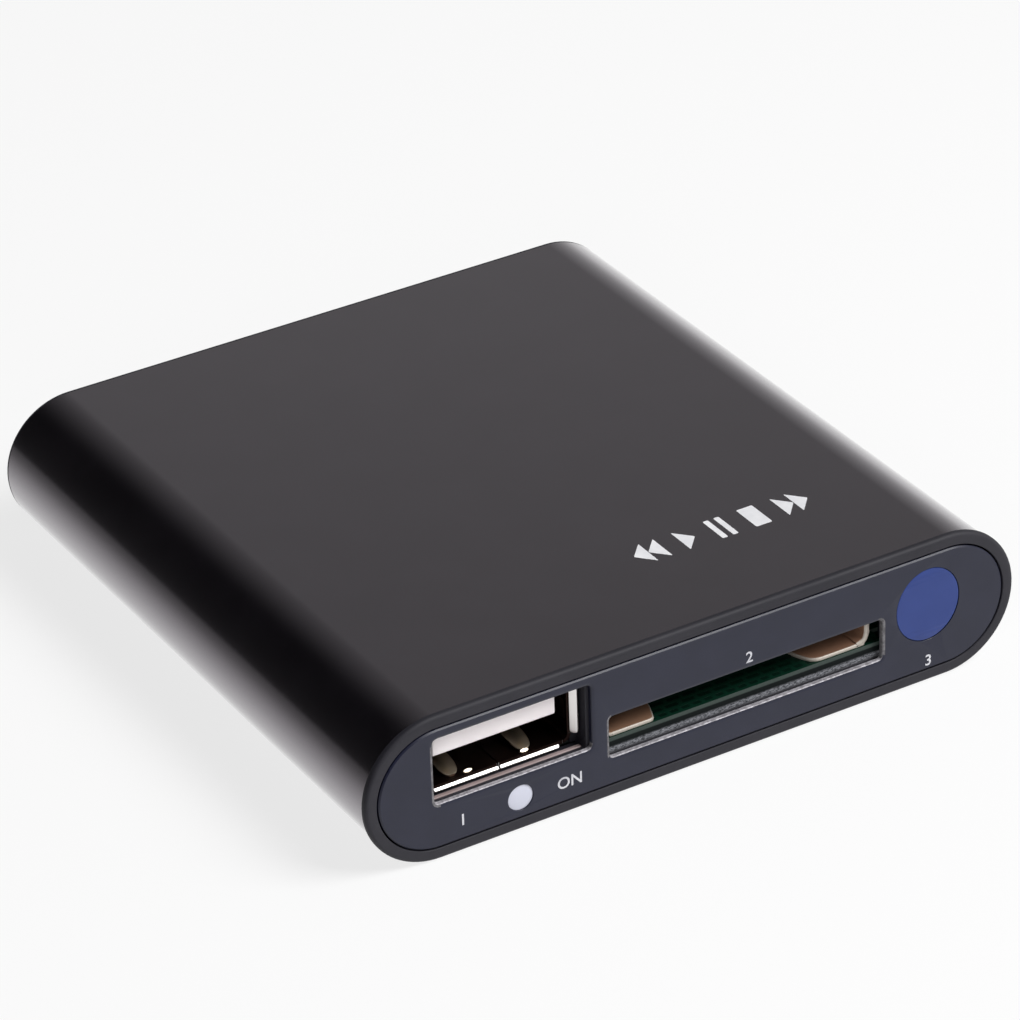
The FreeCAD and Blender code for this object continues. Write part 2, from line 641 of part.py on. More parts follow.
# ---------------------------------------------------------------- card socket
def socket_floor():
    """The shell's floor: narrow through the bezel, wide under the ejector."""
    outline = [(SOCKET_LEFT, SOCKET_FRONT), (SOCKET_RIGHT, SOCKET_FRONT), (SOCKET_RIGHT, DRIVE_FRONT)]
    outline += [(DRIVE_RIGHT, DRIVE_FRONT), (DRIVE_RIGHT, SOCKET_BACK), (SOCKET_LEFT, SOCKET_BACK)]
    return plan(outline, BOARD_TOP, BOARD_TOP + SHEET)


def socket_notch():
    """Wedge-shaped notch in the front of the floor."""
    h0, h1 = BOARD_TOP - 1, BOARD_TOP + 1
    front = [(-3.7, 0), (-3.6, SOCKET_FRONT), (-2.4, 3.0), (-2.4, 7.2)]
    front += [(10.3, 7.2), (10.3, 3.0), (11.2, SOCKET_FRONT), (11.3, 0)]
    notch = plan(front, h0, h1)
    corner = edges_where(notch, lambda e: runs_along(e, Z_AXIS) and e.BoundBox.YMin > place(0, 2, 0).y)
    return notch.makeFillet(0.5, corner)


def card_socket_shell():
    """Pressed sheet: floor on the board with a window in it, and side walls bent up."""
    top = ROOF_TOP - 0.05
    right = SOCKET_RIGHT - SHEET
    walls = [block(SOCKET_LEFT, SOCKET_LEFT + SHEET, SOCKET_FRONT, SOCKET_BACK, BOARD_TOP, top)]
    walls.append(block(right, SOCKET_RIGHT, SOCKET_FRONT, DRIVE_FRONT, BOARD_TOP, top))
    walls.append(block(DRIVE_RIGHT - SHEET, DRIVE_RIGHT, DRIVE_FRONT, SOCKET_BACK, BOARD_TOP, top))
    shell = fuse([socket_floor()] + walls)
    corners = []
    for edge in edges_where(shell, lambda e: runs_along(e, Y_AXIS)):
        centre = edge.BoundBox.Center
        outside = min(abs(centre.x - SOCKET_LEFT), abs(centre.x - SOCKET_RIGHT), abs(centre.x - DRIVE_RIGHT))
        if outside < 1e-4 and abs(centre.z - place(0, 0, BOARD_TOP).z) < 1e-4:
            corners.append(edge)
    shell = shell.makeFillet(SHEET * 0.95, corners)
    cuts = [socket_notch(), block(-4.0, 11.0, 10.0, 24.0, BOARD_TOP - 1, BOARD_TOP + 1)]
    for d in (12.0, 24.0):
        cuts.append(block(SOCKET_LEFT - 1, SOCKET_LEFT + 1, d, d + 1.5, 0.4, 1.0))
    return shell.cut(cuts)


def contact_places():
    return [CONTACT_FIRST_X + i * CONTACT_PITCH for i in range(CONTACTS)]


def card_socket_frame():
    """Moulded frame: roof with contact slots, rear wall, ejector bay and rail."""
    left, right = SOCKET_LEFT + SHEET, DRIVE_RIGHT - SHEET
    rail = SOCKET_RIGHT - SHEET
    roof = plan([(left, 4.0), (rail, 4.0), (rail, DRIVE_FRONT + 0.6), (right, DRIVE_FRONT + 0.6),
                 (right, SOCKET_BACK), (left, SOCKET_BACK)], CHANNEL_ROOF, ROOF_TOP)
    rear = block(left, right, SPRING_BACK, SOCKET_BACK, CHANNEL_FLOOR, ROOF_TOP)
    wall = block(rail, rail + 0.35, DRIVE_FRONT + 0.6, 23.8, CHANNEL_FLOOR, CHANNEL_ROOF)
    bearing = block(rail, right, DRIVE_FRONT + 0.6, SLIDER_FRONT - 0.1, CHANNEL_FLOOR, CHANNEL_ROOF)
    frame = fuse([roof, rear, wall, bearing])
    cuts = [block(-5.0, 12.5, 8.0, 21.0, 0, 2)]
    cuts.append(block(17.1, 20.0, CAM_PIN_PIVOT - 0.5, 24.5, 0.9, 2))
    cuts.append(plan(octagon(CAM_PIN_X, CAM_PIN_PIVOT, CAM_PIN_RADIUS + 0.06), 0.05, 2))
    for x in contact_places():
        cuts.append(block(x - 0.6, x + 0.6, 23.9, 28.8, 0, 2))
    cuts.append(block(-9, 21, SOCKET_BACK - 0.5, SOCKET_BACK + 1, 1.2, 2))
    return frame.cut(cuts)


def card_contact(x):
    """One sprung contact: foot on the board, up the rear wall, over the roof, down to the card."""
    path = [(SOCKET_BACK + 0.95, BOARD_TOP), (SOCKET_BACK + 0.02, BOARD_TOP), (SOCKET_BACK + 0.02, ROOF_TOP)]
    path += [(28.4, ROOF_TOP), (25.4, 0.3), (24.9, 0.3), (24.4, 0.75)]
    return side_profile(strip(path, -0.15), x - 0.4, x + 0.4)


def card_contacts():
    return Part.makeCompound([card_contact(x) for x in contact_places()])


def heart_island(h0, h1):
    """The island that leads the pin in on one side, holds it in its notch and lets it out on the other."""
    centre = CAM_PIN_X + 0.75
    front = CAM_PIN_TIP - SLIDER_TRAVEL + 1.0
    points = [(centre - 0.4, front + 0.1), (centre - 0.12, front - 0.05), (centre + 0.05, front + 0.35)]
    points += [(centre + 0.28, front + 0.05), (centre + 0.42, front + 0.35), (centre + 0.4, front + 1.5)]
    points += [(centre, front + 2.8), (centre - 0.4, front + 1.9)]
    return plan(points, h0, h1)


def card_slider():
    """Ejector: a bar with an arm in the card's way, a heart cam on top and a spring slot below."""
    bar = block(SLIDER_LEFT, SLIDER_RIGHT, SLIDER_FRONT, SLIDER_BACK, SLIDER_BOTTOM, SLIDER_TOP)
    arm = block(ARM_LEFT, SLIDER_LEFT, SLIDER_BACK - ARM_THICK, SLIDER_BACK, SLIDER_BOTTOM, SLIDER_TOP)
    slider = fuse([bar, arm])
    front = edges_where(slider, lambda e: runs_along(e, Z_AXIS) and at_depth(e, SLIDER_FRONT))
    slider = slider.makeChamfer(0.3, front)
    cam_front = CAM_PIN_TIP - SLIDER_TRAVEL - 0.45
    pocket = block(CAM_PIN_X - 0.5, CAM_PIN_X + 2.0, cam_front, CAM_PIN_TIP + 0.45, 0.25, 2)
    pocket = pocket.makeChamfer(0.3, edges_where(pocket, lambda e: runs_along(e, Z_AXIS)))
    slot_half = SPRING_RADIUS + SPRING_WIRE + 0.1
    slot = block(SPRING_X - slot_half, SPRING_X + slot_half, SPRING_FRONT - 0.03, SLIDER_BACK + 1,
                 SLIDER_BOTTOM - 1, SPRING_H + slot_half)
    return slider.cut([pocket.cut(heart_island(0, 2)), slot])


def spring_section(share):
    """Six-sided section of the wire, square to the radius, at this share of the coil's length."""
    turn = 2 * math.pi * SPRING_TURNS * share
    front, back = SPRING_FRONT + SPRING_WIRE + 0.03, SPRING_BACK - SPRING_WIRE - 0.03
    corners = []
    for i in range(6):
        side = math.pi / 3 * i
        reach = SPRING_RADIUS + SPRING_WIRE * math.cos(side)
        d = front + (back - front) * share + SPRING_WIRE * math.sin(side)
        corners.append(place(SPRING_X + reach * math.cos(turn), d, SPRING_H + reach * math.sin(turn)))
    return Part.makePolygon(corners + corners[:1])


def slider_spring():
    """Coil spring between the slider and the frame's rear wall."""
    count = SPRING_TURNS * SPRING_STATIONS
    return Part.makeLoft([spring_section(i / count) for i in range(count + 1)], True, True)


def cam_pin():
    """Bent wire: one leg in the bearing hole, the other in the heart cam."""
    top = CAM_PIN_H
    path = [place(CAM_PIN_X, CAM_PIN_PIVOT, 0.15), place(CAM_PIN_X, CAM_PIN_PIVOT, top)]
    path += [place(CAM_PIN_X, CAM_PIN_TIP, top), place(CAM_PIN_X, CAM_PIN_TIP, 0.33)]
    ring = [place(x, d, 0.15) for x, d in octagon(CAM_PIN_X, CAM_PIN_PIVOT, CAM_PIN_RADIUS)]
    profile = Part.Wire(Part.makePolygon(ring + ring[:1]).Edges)
    return Part.Wire(Part.makePolygon(path).Edges).makePipeShell([profile], True, True, 1)


def pin_leaf():
    """Leaf that keeps the wire down in the cam."""
    press = CAM_PIN_H + CAM_PIN_RADIUS + 0.04
    path = [(8.3, ROOF_TOP), (10.4, ROOF_TOP), (11.8, press), (12.4, press), (13.0, press + 0.2)]
    return side_profile(strip(path, 0.15), CAM_PIN_X - 0.5, CAM_PIN_X + 1.6)


# ---------------------------------------------------------------- rear sockets
def hdmi_outline(grow):
    """Mouth of the socket: wide above, drawn in below, as (x, h) points."""
    slant = grow * 0.45
    points = [(-7.0 - grow, 2.28 + grow), (-7.0 - grow, -0.25 - slant), (-5.4 - slant, -1.45 - slant)]
    points += [(-5.4 - slant, -2.28 - grow), (5.4 + slant, -2.28 - grow), (5.4 + slant, -1.45 - slant)]
    points += [(7.0 + grow, -0.25 - slant), (7.0 + grow, 2.28 + grow)]
    return [(x + HDMI_X, h + HDMI_H) for x, h in points]


def hdmi_legs(grow):
    legs = []
    for d in (DEPTH - 3.4, DEPTH - 8.6):
        for side in (-1, 1):
            x = HDMI_X + side * 7.15
            legs.append((x - 0.15 - grow, x + 0.15 + grow, d - 0.6 - grow, d + 0.6 + grow))
    return legs


def hdmi_shell():
    """Folded shell with hold-down springs pressed out of its top and four legs."""
    mouth = HDMI_MOUTH
    shell = front_profile(hdmi_outline(SHEET), HDMI_BACK, mouth)
    shell = shell.cut(front_profile(hdmi_outline(0), HDMI_BACK + SHEET, mouth + 1))
    roof = HDMI_H + 2.28
    adds = []
    for step in (-3.3, 3.3):
        x = HDMI_X + step
        shell = shell.cut(block(x - 1.0, x + 1.0, mouth - 6.0, mouth - 1.2, roof - 0.1, roof + 1))
        path = [(mouth - 6.2, roof + 0.05), (mouth - 2.6, roof - 0.35), (mouth - 1.5, roof + 0.0)]
        adds.append(side_profile(strip(path, 0.2), x - 0.7, x + 0.7))
    for x0, x1, d0, d1 in hdmi_legs(0):
        adds.append(block(x0, x1, d0, d1, BOARD_BOTTOM - 0.4, HDMI_H))
    return fuse([shell] + adds)


def hdmi_contacts():
    """Two rows of contacts, one on each face of the blade."""
    made = []
    for count, face in ((10, 0.5), (9, -0.62)):
        for i in range(count):
            x = HDMI_X + (i - (count - 1) / 2) * 1.0
            h = HDMI_BLADE_H + face
            made.append(block(x - 0.15, x + 0.15, HDMI_BACK + 1.7, DEPTH - 2.2, h, h + 0.12))
    return Part.makeCompound(made)


def hdmi_insulator():
    """Rear block and thin blade that carry the contacts."""
    rear = front_profile(hdmi_outline(-0.05), HDMI_BACK + SHEET + 0.02, HDMI_BACK + 4.0)
    h0, h1 = HDMI_BLADE_H - 0.5, HDMI_BLADE_H + 0.5
    blade = block(HDMI_X - 5.95, HDMI_X + 5.95, HDMI_BACK + 3.9, DEPTH - 1.9, h0, h1)
    return fuse([rear, blade]).cut(hdmi_contacts())


def jack_nose(x, h):
    """Round nose of a jack, through the bezel and level with the rear plate."""
    return rod(x, h, NOSE_RADIUS, DEPTH - 3, JACK_MOUTH)


def av_jack_body():
    """Moulded jack: block, round nose through the plate, plain bore, contact chamber."""
    body = block(AV_X - 3.1, AV_X + 3.1, AV_BACK, DEPTH - WEB_BACK - 0.4, BOARD_TOP, AV_H + 2.5)
    body = body.makeChamfer(0.3, edges_where(body, lambda e: at_depth(e, AV_BACK)))
    floor = AV_BACK + 0.8
    chamber_front = JACK_MOUTH - AV_PLAIN_BORE
    chamber = block(AV_X - 2.3, AV_X + 2.3, floor, chamber_front, AV_H - 1.9, AV_H + 1.9)
    bore = rod(AV_X, AV_H, AV_BORE, chamber_front - 0.1, JACK_MOUTH + 1)
    return fuse([body, jack_nose(AV_X, AV_H)]).cut([bore, chamber])


def av_jack_contacts():
    """Sprung fingers on both sides of the chamber."""
    made = []
    for side, d in ((-1, AV_BACK + 1.2), (1, AV_BACK + 1.2), (-1, AV_BACK + 4.0)):
        path = [(AV_X + side * 2.25, d), (AV_X + side * 2.25, d + 0.4), (AV_X + side * 1.55, d + 1.3)]
        path += [(AV_X + side * 1.95, d + 2.1)]
        made.append(plan(strip(path, 0.15 * side), AV_H - 0.7, AV_H + 0.7))
    return Part.makeCompound(made)


def power_jack_body():
    """Moulded block with a round mouth, bored for the plug's barrel."""
    half, back = 3.6, POWER_BACK
    body = block(POWER_X - half, POWER_X + half, back, DEPTH - WEB_BACK - 0.4, BOARD_TOP, POWER_H + 2.9)
    body = body.makeChamfer(0.3, edges_where(body, lambda e: at_depth(e, back)))
    bore = rod(POWER_X, POWER_H, POWER_BORE, back + 1.6, JACK_MOUTH + 1)
    slot = block(POWER_X - 0.8, POWER_X + 0.8, back + 1.6, JACK_MOUTH - 3.2, POWER_H - 2.5, POWER_H)
    pin = rod(POWER_X, POWER_H, POWER_PIN, 0, DEPTH)
    return fuse([body, jack_nose(POWER_X, POWER_H)]).cut([bore, slot, pin])


def power_jack_pin():
    """Centre pin, through the body's back wall."""
    return rod(POWER_X, POWER_H, POWER_PIN, POWER_BACK - 0.25, DEPTH - 1.6)


def power_jack_contact():
    """Spring strip under the bore that presses on the plug's barrel."""
    d, h = POWER_BACK, POWER_H - 2.4
    path = [(d + 1.65, h), (d + 2.4, h), (d + 5.0, h + 0.75), (d + 6.2, h + 0.3)]
    return side_profile(strip(path, 0.15), POWER_X - 0.7, POWER_X + 0.7)


# ---------------------------------------------------------------- export
PARTS = {
    "housing_sleeve": housing_sleeve,
    "front_bezel": front_bezel,
    "front_plate": front_plate,
    "rear_bezel": rear_bezel,
    "rear_plate": rear_plate,
    "rear_screws": rear_screws,
    "ir_window": ir_window,
    "lamp_light_pipe": lamp_light_pipe,
    "main_board": main_board,
    "insulating_sheet": insulating_sheet,
    "video_processor": video_processor,
    "heat_sink": heat_sink,
    "memory_chips": memory_chips,
    "flash_chip": flash_chip,
    "flash_leads": flash_leads,
    "clock_crystal": clock_crystal,
    "power_inductors": power_inductors,
    "capacitor_cans": capacitor_cans,
    "capacitor_bases": capacitor_bases,
    "voltage_regulators": voltage_regulators,
    "regulator_leads": regulator_leads,
    "small_passives": small_passives,
    "power_led": power_led,
    "ir_receiver_body": ir_receiver_body,
    "ir_receiver_leads": ir_receiver_leads,
    "usb_shell": usb_shell,
    "usb_insulator": usb_insulator,
    "usb_contacts": usb_contacts,
    "card_socket_shell": card_socket_shell,
    "card_socket_frame": card_socket_frame,
    "card_contacts": card_contacts,
    "card_slider": card_slider,
    "slider_spring": slider_spring,
    "cam_pin": cam_pin,
    "pin_leaf": pin_leaf,
    "hdmi_shell": hdmi_shell,
    "hdmi_insulator": hdmi_insulator,
    "hdmi_contacts": hdmi_contacts,
    "av_jack_body": av_jack_body,
    "av_jack_contacts": av_jack_contacts,
    "power_jack_body": power_jack_body,
    "power_jack_pin": power_jack_pin,
    "power_jack_contact": power_jack_contact,
}


def main():
    os.makedirs("parts", exist_ok=True)
    for name, make in PARTS.items():
        shape = make()
        shape.exportStep("parts/" + name + ".step")
        closed = all(solid.isClosed() for solid in shape.Solids)
        state = "ok" if shape.isValid() and closed else "BAD"
        print(f"{name:22s} solids {len(shape.Solids):2d}  volume {shape.Volume:9.2f}  {state}")


main()
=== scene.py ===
import math

import bpy
import numpy as np
from mathutils import Matrix, Vector
from mathutils.geometry import delaunay_2d_cdt


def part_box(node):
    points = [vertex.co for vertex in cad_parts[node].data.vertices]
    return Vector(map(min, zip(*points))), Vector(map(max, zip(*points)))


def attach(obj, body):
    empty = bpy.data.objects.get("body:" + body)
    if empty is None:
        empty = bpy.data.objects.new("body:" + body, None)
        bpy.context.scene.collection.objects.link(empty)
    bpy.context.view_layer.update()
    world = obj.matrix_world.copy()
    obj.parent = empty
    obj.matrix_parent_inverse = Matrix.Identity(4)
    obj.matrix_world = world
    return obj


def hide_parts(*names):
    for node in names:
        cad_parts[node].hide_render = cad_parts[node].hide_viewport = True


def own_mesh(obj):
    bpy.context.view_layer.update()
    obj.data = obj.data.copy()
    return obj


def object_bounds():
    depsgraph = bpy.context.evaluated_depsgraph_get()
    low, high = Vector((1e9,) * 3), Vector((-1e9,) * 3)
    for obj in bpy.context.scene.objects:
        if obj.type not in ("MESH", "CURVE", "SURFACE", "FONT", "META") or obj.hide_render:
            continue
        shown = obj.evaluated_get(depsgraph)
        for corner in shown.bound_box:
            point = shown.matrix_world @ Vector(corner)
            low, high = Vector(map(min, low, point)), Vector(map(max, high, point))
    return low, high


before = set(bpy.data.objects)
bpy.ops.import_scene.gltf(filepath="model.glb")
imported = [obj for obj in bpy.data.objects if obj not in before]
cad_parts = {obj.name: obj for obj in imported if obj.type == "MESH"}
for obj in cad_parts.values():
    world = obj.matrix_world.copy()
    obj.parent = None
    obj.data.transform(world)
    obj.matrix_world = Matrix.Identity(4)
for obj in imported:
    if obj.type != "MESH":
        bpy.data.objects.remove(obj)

cad_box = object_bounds()

# ------------------------------------------------------------------ places
# Metres.  x runs to the right seen from the front, y to the rear, z up.  Most
# places are written in millimetres as (x, d, h): d is the depth behind the
# front face and h the height above the middle of the front face.
MM = 0.001
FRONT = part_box("front_plate")[0].y
MIDDLE = (cad_box[0].z + cad_box[1].z) / 2
WIDTH = (cad_box[1].x - cad_box[0].x) / MM
HEIGHT = (cad_box[1].z - cad_box[0].z) / MM
DEPTH = (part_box("rear_plate")[1].y - FRONT) / MM

RIM_PROUD, RIM_THICK, RIM_ROUND, RIM_BACK_SET = 0.24, 0.6, 0.35, 0.05
REAR_RIM_THICK, REAR_RIM_ROUND = 0.3, 0.15
SLEEVE_WALL, MOUTH_CHAMFER = 1.1, 0.6
PLATE_FACE, PLATE_THICK, PLATE_INSET, PLATE_GROOVE, PLATE_CHAMFER = 0.012, 0.5, 1.17, 0.14, 0.12
WEB_BACK, FIT_GAP = 1.9, 0.06
BOARD_TOP, BOARD_BOTTOM, BOARD_FRONT = -1.6, -2.8, 0.85
CARD_FRONT, CARD_BAY, CARD_BACK = 0.95, 7.5, 32.6
SPRING_X, SPRING_H, SPRING_FRONT, SPRING_LENGTH, TRAVEL = 18.5, -0.35, 20.8, 10.5, 4.9
SHEET = 0.3
# (inset, depth) behind the plate's face down the coined and worn edge of a window in it.
WORN_STEPS = [(0.36, 0.0), (0.24, 0.012), (0.13, 0.035), (0.05, 0.075), (0.0, 0.15), (0.0, 0.47),
              (0.02, 0.488)]
USB_X, USB_H, USB_HALF_WIDTH, USB_HALF_HEIGHT = -17.4, 1.71, 6.25, 2.56
USB_MOUTH, USB_BACK, SEAM = 1.66, 15.0, 0.05
USB_CONTACTS, USB_SPRINGS = (-3.5, -1.0, 1.0, 3.5), (-3.85, 2.65)
USB_WINDOW = (-23.97, -9.88, -1.45, 4.43)
CARD_WINDOW = (-8.31, 17.25, -2.9, 0.86)
IR_X, IR_H, IR_HALF_WIDTH, IR_HALF_HEIGHT = 21.6, 0.79, 3.04, 3.3
LAMP_X, LAMP_H, LAMP_RADIUS = -16.43, -3.49, 1.14
SCREW_X, SCREW_H, SCREW_RADIUS, SCREW_HEAD_RADIUS, SCREW_LENGTH = 26.7, 1.6, 0.8, 1.5, 6.0
HDMI_X, HDMI_H = 8.0, 1.4
AV_X, AV_H, POWER_X, POWER_H, NOSE_RADIUS = -8.0, 1.2, -19.0, 1.4, 2.8


def at(x, d, h):
    """Points in the frame for arrays or numbers x, d, h in millimetres."""
    x, d, h = np.broadcast_arrays(np.asarray(x, float), d, h)
    return np.stack([x * MM, FRONT + d * MM, MIDDLE + h * MM], -1)


def facing_front(a, b, depth):
    """Drawn across and up, with its thickness running back."""
    return at(a, depth, b)


def facing_rear(a, b, depth):
    """The same drawing turned half round the upright axis, for the rear end."""
    return at(-a, DEPTH - depth, b)


def lying(a, b, depth):
    """Drawn across and back, with its thickness running up."""
    return at(a, b, depth)


def standing(a, b, depth):
    """Drawn back and up, with its thickness running to the right."""
    return at(depth, a, b)


def leaning(corner, across, down):
    """A slanted place for drawings: a runs across, b down the slant and the thickness square to both."""
    corner, across, down = (np.array(part, float) for part in (corner, across, down))
    down /= np.linalg.norm(down)
    inwards = np.cross(across, down)

    def lie(a, b, depth):
        a, b, depth = (part[..., None] for part in np.broadcast_arrays(a, b, depth))
        return at(*(corner + a * across + b * down + depth * inwards).T)
    return lie


# ------------------------------------------------------------------ outlines
# Closed outlines are arrays of (a, b) points, anticlockwise.
def capsule(inset=0.0, count=40):
    """The housing's outline drawn in by inset: two half circles joined by straight lines."""
    turn = np.linspace(-np.pi / 2, np.pi / 2, count)
    radius, half = HEIGHT / 2 - inset, (WIDTH - HEIGHT) / 2
    right = np.stack([half + radius * np.cos(turn), radius * np.sin(turn)], -1)
    return np.concatenate([right, -right])


def oval(a, b, half_a, half_b, count=48):
    turn = np.arange(count) * 2 * np.pi / count
    return np.stack([a + half_a * np.cos(turn), b + half_b * np.sin(turn)], -1)


def circle(a, b, radius, count=48):
    return oval(a, b, radius, radius, count)


def rounded(corners, radius, steps=5):
    """A polygon with each corner replaced by the parabola from radius before it to radius after it."""
    corners = np.asarray(corners, float)
    before, after = np.roll(corners, 1, 0) - corners, np.roll(corners, -1, 0) - corners
    radius = np.broadcast_to(radius, len(corners))[:, None]
    start = corners + before / np.linalg.norm(before, axis=1, keepdims=True) * radius
    end = corners + after / np.linalg.norm(after, axis=1, keepdims=True) * radius
    t = np.linspace(0, 1, steps)[None, :, None]
    arc = start[:, None] * (1 - t) ** 2 + 2 * corners[:, None] * t * (1 - t) + end[:, None] * t ** 2
    return arc.reshape(-1, 2)


def rectangle(limits, radius):
    a0, a1, b0, b1 = limits
    return rounded([(a0, b0), (a1, b0), (a1, b1), (a0, b1)], radius)


def drawn_in(outline, inset):
    """The outline moved to its inside by inset, square to the line through each point's neighbours."""
    along = np.roll(outline, -1, 0) - np.roll(outline, 1, 0)
    along /= np.linalg.norm(along, axis=1, keepdims=True)
    return outline + inset * np.stack([-along[:, 1], along[:, 0]], -1)


def smooth_path(points, steps=8):
    """Points of the cubic curve through the given ones, its slope at each from its neighbours."""
    points = np.asarray(points, float)
    slope = np.gradient(points, axis=0)
    t = np.linspace(0, 1, steps, endpoint=False)[None, :, None]
    legs = points[:-1, None] * (2 * t ** 3 - 3 * t ** 2 + 1) + slope[:-1, None] * (t ** 3 - 2 * t ** 2 + t)
    legs += points[1:, None] * (3 * t ** 2 - 2 * t ** 3) + slope[1:, None] * (t ** 3 - t ** 2)
    return np.concatenate([legs.reshape(-1, points.shape[1]), points[-1:]])


# ------------------------------------------------------------------ surfaces
def grid_faces(rows, columns, wrap_rows=False, wrap_columns=True):
    """Quads of a grid of rows x columns points, joined end to end where it wraps."""
    i = np.arange(rows if wrap_rows else rows - 1)
    j = np.arange(columns if wrap_columns else columns - 1)
    i, j = np.meshgrid(i, j, indexing="ij")
    i1, j1 = (i + 1) % rows, (j + 1) % columns
    quads = np.stack([i * columns + j, i1 * columns + j, i1 * columns + j1, i * columns + j1], -1)
    return quads.reshape(-1, 4)


def fan(ring):
    """Triangles from the ring's first point over the rest of it."""
    ring = np.asarray(ring)
    return np.stack([np.full(len(ring) - 2, ring[0]), ring[1:-1], ring[2:]], -1)


def capped(points, rows, columns):
    """A closed tube: rows rings of columns points joined by quads, its end rings filled by fans."""
    ring = np.arange(columns)
    ends = [fan(ring)[:, ::-1], fan(ring + (rows - 1) * columns)]
    return points, outward(points, [grid_faces(rows, columns)] + ends)


def outward(points, parts):
    """Faces turned outwards: all are reversed if the volume that they enclose is negative."""
    volume = 0.0
    centre = points.mean(0)
    for faces in parts:
        a, b, c = (points[faces[:, k]] - centre for k in (0, 1, 2))
        volume += np.einsum("ij,ij->i", a, np.cross(b, c)).sum()
        if faces.shape[1] == 4:
            d = points[faces[:, 3]] - centre
            volume += np.einsum("ij,ij->i", a, np.cross(c, d)).sum()
    return [faces[:, ::-1] if volume < 0 else faces for faces in parts]


def inside(points, loop):
    """True where a ray to the right of a point crosses the loop an odd number of times."""
    a, b = loop[None], np.roll(loop, -1, 0)[None]
    x, h = points[:, None, 0], points[:, None, 1]
    spans = (a[..., 1] > h) != (b[..., 1] > h)
    rise = np.where(spans, b[..., 1] - a[..., 1], 1.0)
    meets = a[..., 0] + (h - a[..., 1]) * (b[..., 0] - a[..., 0]) / rise
    return (spans & (x < meets)).sum(1) % 2 == 1


def filled(loops):
    """Triangles of the region inside the first loop and outside the others, into the joined points."""
    flat = np.concatenate(loops)
    ends = np.cumsum([len(loop) for loop in loops])
    after = np.arange(1, len(flat) + 1)
    after[ends - 1] = np.concatenate([[0], ends[:-1]])
    edges = np.stack([np.arange(len(flat)), after], -1).tolist()
    faces = delaunay_2d_cdt([Vector(point) for point in flat.tolist()], edges, [], 0, 1e-7)[2]
    faces = np.array(faces)
    centres = flat[faces].mean(1)
    keep = inside(centres, loops[0])
    for loop in loops[1:]:
        keep &= ~inside(centres, loop)
    return faces[keep]


def corner_round(inset, depth, radius, steps):
    """(inset, depth) round a quarter circle that takes off the corner at the stated place, face first."""
    turn = np.linspace(0, np.pi / 2, steps)
    return np.stack([inset + radius * (1 - np.sin(turn)), depth + radius * (1 - np.cos(turn))], -1)


def rounding(depth0, depth1, front_round, back_round, steps=4):
    """(inset, depth) down a sheet's edge: a quarter circle, a straight wall and a quarter circle."""
    back = corner_round(0, 0, back_round, steps) * (1, -1) + (0, depth1)
    return np.concatenate([corner_round(0, depth0, front_round, steps), back[::-1]])


def plate_of(outer, holes, edge, lie, cuts=None):
    """A flat sheet: each outline carried down its edge's (inset, depth) steps, with both faces filled.

    Holes are drawn out by the inset instead of in, each with its own edge if cuts gives them.
    """
    points, sides, rows, count = [], [], {0: [], -1: []}, 0
    cuts = cuts or [edge] * len(holes)
    for loop, steps, sign in [(outer, edge, 1)] + [(hole, cut, -1) for hole, cut in zip(holes, cuts)]:
        rings = [drawn_in(loop, sign * inset) for inset, _ in steps]
        points += [lie(*ring.T, depth) for ring, (_, depth) in zip(rings, steps)]
        quads = grid_faces(len(steps), len(loop)) + count
        sides.append(quads if sign > 0 else quads[:, ::-1])
        for end, first in ((0, count), (-1, count + (len(steps) - 1) * len(loop))):
            rows[end].append((rings[end], first + np.arange(len(loop))))
        count += len(steps) * len(loop)
    faces = []
    for end, turn in ((0, 1), (-1, -1)):
        loops, indices = zip(*rows[end])
        faces.append(np.concatenate(indices)[filled(loops)][:, ::turn])
    points = np.concatenate(points)
    return points, outward(points, sides + faces)


def block(limits, radius, edge, lie, holes=()):
    """A sheet whose outline is a rectangle with rounded corners."""
    return plate_of(rectangle(limits, radius), holes, edge, lie)


def ring_of(outline, profile, lie):
    """A closed ring: the closed profile of (inset, depth) points carried round the outline."""
    points = np.concatenate([lie(*drawn_in(outline, inset).T, depth) for inset, depth in profile])
    return points, outward(points, [grid_faces(len(profile), len(outline), wrap_rows=True)])


def ribbon(path, across, width, thick, edge=0.3):
    """A strip of sheet along path: a rounded rectangle, width along across and thick square to both.

    The width is one number, or one for each point of the path.
    """
    path, across = np.asarray(path, float), np.asarray(across, float)
    tangent = np.gradient(path, axis=0)
    tangent /= np.linalg.norm(tangent, axis=1, keepdims=True)
    normal = np.cross(across, tangent)
    section = rectangle((-thick / 2, thick / 2, -thick / 2, thick / 2), thick * edge)
    spread = (np.broadcast_to(width, len(path))[:, None] - thick) / 2
    wide = section[None, :, 0] + np.sign(section[None, :, 0]) * spread
    points = path[:, None] + wide[..., None] * across + section[None, :, 1:] * normal[:, None]
    return capped(at(*points.reshape(-1, 3).T), *points.shape[:2])


def turned(profile, centre, lie, count=32):
    """A round piece: the (radius, depth) profile turned about its centre, its ends closed by flat caps."""
    turn = np.arange(count) * 2 * np.pi / count
    profile = np.asarray(profile, float)
    a = centre[0] + profile[:, :1] * np.cos(turn)
    b = centre[1] + profile[:, :1] * np.sin(turn)
    depth = np.broadcast_to(profile[:, 1:], a.shape)
    return capped(lie(a.ravel(), b.ravel(), depth.ravel()), len(profile), count)


def placed(name, data):
    """A new object with that data in the scene."""
    made = bpy.data.objects.new(name, data)
    bpy.context.scene.collection.objects.link(made)
    return made


